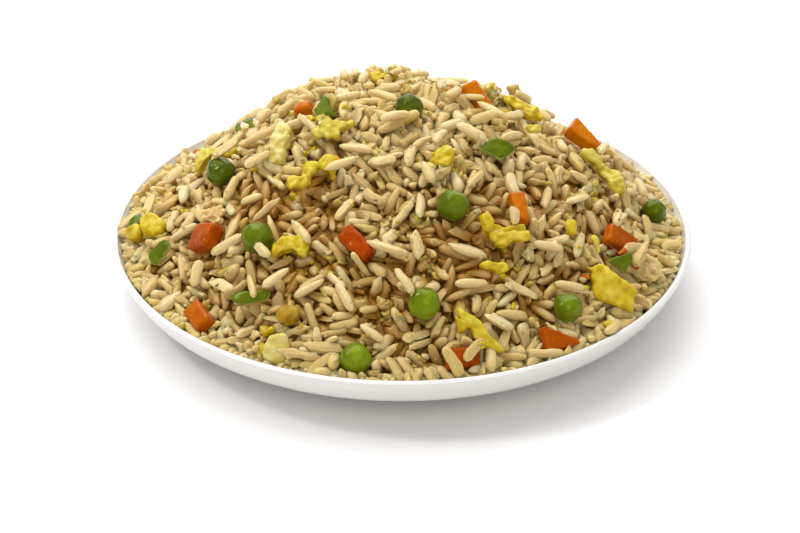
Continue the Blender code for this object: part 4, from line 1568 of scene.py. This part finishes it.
def make_core(ground):
    """The mass of rice under the loose grains, its skin in grain-sized lumps."""
    sides, rings = CORE_SIDES, CORE_RINGS
    solid = bmesh.new()
    loops = []
    for ring in range(1, rings + 1):
        radius = CORE_EDGE * ring / rings
        turn = np.arange(sides) * 2 * math.pi / sides
        x, y = radius * np.cos(turn), radius * np.sin(turn)
        z = ground.floor(x, y)
        lump = np.array([noise.noise(Vector(spot) / CORE_LUMPS[0]) for spot in zip(x, y, z)])
        z = np.maximum(z + lump * CORE_LUMPS[1], ground.dish(np.full(sides, radius)) + 0.25)
        loops.append([solid.verts.new(Vector(p) * MM) for p in zip(x, y, z)])
    top = solid.verts.new((0, 0, float(ground.floor(np.zeros(1), np.zeros(1))[0]) * MM))
    under = [solid.verts.new(v.co - Vector((0, 0, 0.0001))) for v in loops[-1]]
    bottom = solid.verts.new((0, 0, (ground.wall_heights[0] + 0.4) * MM))
    for side in range(sides):
        after = (side + 1) % sides
        solid.faces.new((top, loops[0][side], loops[0][after]))
        for near, far in zip(loops, loops[1:]):
            solid.faces.new((near[side], far[side], far[after], near[after]))
        solid.faces.new((loops[-1][side], under[side], under[after], loops[-1][after]))
        solid.faces.new((under[side], bottom, under[after]))
    bmesh.ops.recalc_face_normals(solid, faces=solid.faces)
    piece = placed("rice_core", built("rice_core", solid))
    finish_piece(piece, "rice_heap", core_finish())


def make_rice(rng, ground, tree, finish, extras):
    """Settle the grains and make one piece of each kind."""
    grains = Grains(rng, ground)
    obstacles = [Obstacle(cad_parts[node].data, ground, lap_over(node)) for node in toppings()]
    for piece in extras:
        obstacles.append(Obstacle(piece.data, ground, MASH_LAP if "mash" in piece.name else CHIP_LAP))
    grains.lay(rng, ground, obstacles)
    grains.settle(ground, obstacles)
    grains.seat(ground, obstacles)
    grains.thin(rng, ground)
    middle = grains.middles()
    along = grains.end - grains.start
    along /= np.maximum(np.linalg.norm(along, axis=1, keepdims=True), 1e-6)
    flat = rng.uniform(*GRAIN_FLATNESS, len(middle))
    sizes = np.stack([grains.length, grains.width, grains.width * flat], -1)
    rolls = rng.normal(0, ROLL_SPREAD, len(middle)) + math.pi * rng.integers(0, 2, len(middle))
    turns = turns_along(along, rolls)
    kinds = (
        ("rice_browned", whole_grains(), (grains.kind == "whole") & (grains.tone < PALE_FROM)),
        ("rice_pale", whole_grains(), (grains.kind == "whole") & (grains.tone >= PALE_FROM)),
        ("rice_split", split_grains(), grains.kind == "split"),
        ("rice_broken", broken_grains(), grains.kind == "broken"),
    )
    made = []
    for name, shapes, chosen in kinds:
        picks = rng.integers(0, len(shapes), chosen.sum()).astype(np.int32)
        where = (middle[chosen], turns[chosen], sizes[chosen])
        piece = scatter(name, tree, shapes, finish, *where, picks, grains.tone[chosen])
        mark_depth(piece, ground)
        finish_piece(piece, None, finish)
        made.append(piece)
    return made


def crumb_shape(name, seed, rough, stretch=(1, 1, 1)):
    """A small uneven lump, 1 across."""
    solid = bmesh.new()
    bmesh.ops.create_icosphere(solid, subdivisions=2, radius=0.5)
    shift = Vector((seed * 2.9, seed * 1.1, -seed * 4.3))
    for vertex in solid.verts:
        away = vertex.co.normalized()
        lumps = noise.noise(away * 1.3 + shift) * 1.4 + noise.noise(away * 3.1 + shift) * 0.7
        vertex.co *= 1 + rough * lumps
        vertex.co = Vector(part * size for part, size in zip(vertex.co, stretch))
    grain_map = solid.loops.layers.uv.new("grain")
    solid.normal_update()
    for face in solid.faces:
        for corner in face.loops:
            across, along = (np.clip(part + 0.5, 0, 1) for part in corner.vert.co.xy)
            corner[grain_map].uv = ((across + (face.normal.z < 0)) / 2, along)
    mesh = built(name, solid)
    mesh.shade_smooth()
    return bpy.data.objects.new(name, mesh)


class Top:
    """The outermost surface of the rice, for small things to land on."""

    def __init__(self, pieces):
        self.tree = search_tree([piece.data for piece in pieces])

    def land(self, ground, x, y):
        """Where a crumb that falls square to the heap comes to rest, and how the surface faces there."""
        spot = np.array([x])
        up = Vector(ground.up(spot, np.array([y]))[0])
        base = Vector((x, y, float(ground.height(spot, np.array([y]))[0])))
        hit, facing = self.tree.ray_cast(base + up * 15, -up)[:2]
        return hit, facing, up


CRUMB_FOLDS, CRUMB_BRIGHTNESS = (0.1, 0.75), 0.5  # what the egg and carrot finishes read
DEEPEST_CRUMB = -9.0  # under the heap's outside


def scatter_crumbs(
    name, rng, tree, top, ground, spots, size, shapes, finish, sunk=0.15, tones=(0.3, 0.9)
):
    """Land crumbs at plan spots, each part sunk between the grains, and join them as one piece."""
    places = []
    aims = []
    for x, y in spots:
        hit, facing, up = top.land(ground, x, y)
        if hit is None or math.hypot(hit.x, hit.y) > CORE_EDGE:
            continue
        level = (float(ground.height(np.array([x]), np.array([y]))[0]) - hit.z) * up.z
        if level < DEEPEST_CRUMB:
            continue
        places.append(tuple(hit))
        aims.append(tuple(facing.lerp(Vector(rng.normal(size=3)), 0.5).normalized()))
    count = len(places)
    places = np.array(places)
    sizes = np.exp(rng.normal(math.log(size), 0.35, count))[:, None] * rng.uniform(0.7, 1.25, (count, 3))
    ups = ground.up(places[:, 0], places[:, 1])
    places -= ups * (sizes.min(1) * sunk)[:, None]
    picks = rng.integers(0, len(shapes), count).astype(np.int32)
    turns = turns_along(aims, rng.uniform(0, 2 * math.pi, count))
    piece = scatter(name, tree, shapes, finish, places, turns, sizes, picks, rng.uniform(*tones, count))
    mark_depth(piece, ground)
    mark(piece, "fold_shade", rng.uniform(*CRUMB_FOLDS, len(piece.data.vertices)))
    mark(piece, "bright", CRUMB_BRIGHTNESS)
    finish_piece(piece, None, finish)


def spots_round(rng, middle, count, spread):
    """Plan spots gathered round a middle."""
    return rng.normal(middle, spread, (count, 2))


def spots_over(rng, count):
    """Plan spots all over the heap."""
    radius = 78 * np.sqrt(rng.random(count))
    turn = rng.uniform(0, 2 * math.pi, count)
    return np.column_stack([radius * np.cos(turn), radius * np.sin(turn)])


def make_crumbs(rng, ground, tree, rice, rice_material, egg, others):
    """What is smaller than a topping: egg crumbs, bits of rice, toasted flecks and carrot."""
    top = Top(rice)
    near_curds = np.concatenate(
        [
            spots_round(rng, [(a + b) / 2 / MM for a, b in zip(*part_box(node))][:2], 7, 6.0)
            for node in toppings()
            if node.startswith("egg")
        ]
    )
    lumps = [crumb_shape(f"lump_{seed}", seed, 0.7) for seed in range(6)]
    finish = egg["yellow"]
    scatter_crumbs("egg_crumbs", rng, tree, top, ground, near_curds, 2.0, lumps, finish, sunk=0.35)
    spots = np.concatenate([spots_round(rng, middle, 7, 2.4) for middle in spots_over(rng, 55)])
    lumps = [crumb_shape(f"lump_{seed}", seed, 0.8) for seed in range(6)]
    finish = egg["browned"]
    scatter_crumbs("egg_bits", rng, tree, top, ground, spots, 2.0, lumps, finish, sunk=0.4)
    bits = [crumb_shape(f"bit_{seed}", seed + 20, 0.65, (1.2, 0.8, 0.7)) for seed in range(6)]
    spots = spots_over(rng, 700)
    finish = rice_material
    scatter_crumbs(
        "rice_crumbs", rng, tree, top, ground, spots, 1.6, bits, finish, 0.35, (0.2, 1.0)
    )
    flecks = [crumb_shape(f"fleck_{seed}", seed + 40, 0.5, (1.0, 0.7, 0.4)) for seed in range(3)]
    spots = spots_over(rng, 120)
    finish = toasted_finish()
    scatter_crumbs("toasted_flecks", rng, tree, top, ground, spots, 0.8, flecks, finish)
    shreds = [crumb_shape(f"shred_{seed}", seed + 60, 0.35, (1.6, 0.6, 0.5)) for seed in range(3)]
    spots = spots_over(rng, 12)
    finish = others["carrot"]
    scatter_crumbs("carrot_shreds", rng, tree, top, ground, spots, 1.9, shreds, finish)


PLATE_SIDES = 256
CURVE_STEPS = 5  # between two points of the outline
FOOT_TOP = 2.5  # under this the plate's foot is straight, so it isn't curved
AXIS_NEAR = 0.05  # a radius under this is the plate's middle


def plate_outline():
    """The (radius, height) loop of the CAD plate, walked from its floor's middle over the lip."""
    source = copy_of("plate")
    points = {v.index: v.co / MM for v in source.data.vertices if abs(v.co.y) < 1e-6 and v.co.x > -1e-6}
    links = {index: [] for index in points}
    for edge in source.data.edges:
        a, b = edge.vertices
        if a in points and b in points:
            links[a].append(b)
            links[b].append(a)
    ends = [index for index, near in links.items() if len(near) == 1]
    here = max(ends, key=lambda index: points[index].z)
    walked = [here]
    while True:
        onward = [index for index in links[walked[-1]] if index not in walked]
        if not onward:
            break
        walked.append(onward[0])
    outline = [(points[index].x, points[index].z) for index in walked]
    bpy.data.objects.remove(source)
    return outline


def make_plate():
    """The porcelain plate, turned finely from the frame's own outline."""
    outline = plate_outline()
    sides = PLATE_SIDES
    turns = [2 * math.pi * side / sides for side in range(sides)]
    solid = bmesh.new()
    loops = []
    fine = []
    ends = [outline[0], *outline, outline[-1]]
    for before, start, end, after in zip(ends, ends[1:], ends[2:], ends[3:]):
        straight = start[1] < FOOT_TOP and end[1] < FOOT_TOP
        for step in range(1 if straight else CURVE_STEPS):
            fours = zip(before, start, end, after)
            fine.append(tuple(on_curve(*four, step / CURVE_STEPS) for four in fours))
    fine.append(outline[-1])
    for radius, height in fine:
        if radius < AXIS_NEAR:
            loops.append([solid.verts.new((0, 0, height * MM))] * sides)
            continue
        ring = [(radius * math.cos(turn) * MM, radius * math.sin(turn) * MM, height * MM) for turn in turns]
        loops.append([solid.verts.new(point) for point in ring])
    for upper, lower in zip(loops, loops[1:]):
        for side in range(sides):
            after = (side + 1) % sides
            solid.faces.new(list(dict.fromkeys((upper[side], upper[after], lower[after], lower[side]))))
    bmesh.ops.recalc_face_normals(solid, faces=solid.faces)
    piece = placed("plate_glazed", built("plate_glazed", solid))
    finish_piece(piece, "plate", porcelain_finish())


# ---------------------------------------------------------------- table, light and camera


TABLE_REACH = 3.0  # metres from its middle, far past what is seen


def make_table():
    """The plain table that the plate stands on."""
    mesh = bpy.data.meshes.new("table")
    corners = [(TABLE_REACH * x, TABLE_REACH * y, 0) for x, y in ((-1, -1), (1, -1), (1, 1), (-1, 1))]
    mesh.from_pydata(corners, [], [(0, 1, 2, 3)])
    table = placed("table", mesh)
    mesh.materials.append(table_finish())


def soft_light(name, place, target, size, power, colour=(1, 1, 1)):
    """A square softbox at a place, aimed at a target."""
    lamp = bpy.data.lights.new(name, "AREA")
    lamp.size = size
    lamp.energy = power
    lamp.color = colour
    made = placed(name, lamp)
    made.location = place
    made.rotation_euler = (Vector(target) - Vector(place)).to_track_quat("-Z", "Y").to_euler()


def make_light():
    """Broad soft light from above and behind, a small window at the left and a warm fill in front."""
    heap = (0, 0, 0.03)
    soft_light("overhead", (-0.10, 0.22, 0.74), heap, 0.75, 4.1)
    soft_light("back", (0.06, 0.63, 0.48), heap, 0.85, 2.75)
    soft_light("window_left", (-0.40, -0.06, 0.50), heap, 0.11, 1.0)
    soft_light("front_fill", (0.10, -0.75, 0.62), heap, 0.50, 1.55, (1.0, 0.94, 0.84))
    world = bpy.data.worlds.new("studio")
    world.use_nodes = True
    tree = world.node_tree
    tree.nodes.clear()
    seen = shader_node(tree, "ShaderNodeBackground", Color=(1, 1, 1, 1), Strength=1.0)
    lit = shader_node(tree, "ShaderNodeBackground", Color=(1, 1, 1, 1), Strength=0.50)
    mix = tree.nodes.new("ShaderNodeMixShader")
    path = tree.nodes.new("ShaderNodeLightPath")
    out = tree.nodes.new("ShaderNodeOutputWorld")
    link(tree, path.outputs["Is Camera Ray"], mix.inputs["Fac"])
    link(tree, lit.outputs[0], mix.inputs[1])
    link(tree, seen.outputs[0], mix.inputs[2])
    link(tree, mix.outputs[0], out.inputs["Surface"])
    bpy.context.scene.world = world


CAMERA_REACH = 8.0  # plate radii from the lip's middle
CAMERA_LIFT = math.radians(29.35)
CAMERA_DIP = math.radians(1.03)  # how far under the lip's middle it aims
CAMERA_ASIDE = -0.00048
CAMERA_LENS = 103.66


def make_camera():
    """A long lens that looks down on the plate from the front."""
    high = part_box("plate")[1]
    reach = CAMERA_REACH * high[0]
    lens = bpy.data.cameras.new("camera")
    lens.lens = CAMERA_LENS
    lens.sensor_width = 36.0
    made = placed("camera", lens)
    made.location = (
        CAMERA_ASIDE,
        -reach * math.cos(CAMERA_LIFT),
        high[2] + reach * math.sin(CAMERA_LIFT),
    )
    made.rotation_euler = (math.pi / 2 - CAMERA_LIFT - CAMERA_DIP, 0, 0)
    bpy.context.scene.camera = made
    bpy.context.scene.view_settings.view_transform = "Standard"


MOTTLE = mottle_group()
FURROWS = furrow_group()


def main():
    rng = np.random.default_rng(SEED)
    ground = Ground()
    make_camera()
    make_light()
    make_table()
    make_plate()
    make_core(ground)
    egg = egg_finishes()
    others = make_toppings(ground, egg)
    tree = scatter_tree()
    finishes = {
        "egg": egg["yellow"],
        "egg_light": egg["light"],
        "rice": rice_finish("rice_finish", 0.95),
        "rice_bits": rice_finish("rice_bits_finish", 0.15),
        "pepper_pale": egg_finish("pepper_flesh_finish", *PALE_GREENS),
        **others,
    }
    extras = make_extras(ground, finishes)
    rice = make_rice(rng, ground, tree, finishes["rice"], extras)
    make_crumbs(rng, ground, tree, rice, finishes["rice_bits"], egg, others)


main()
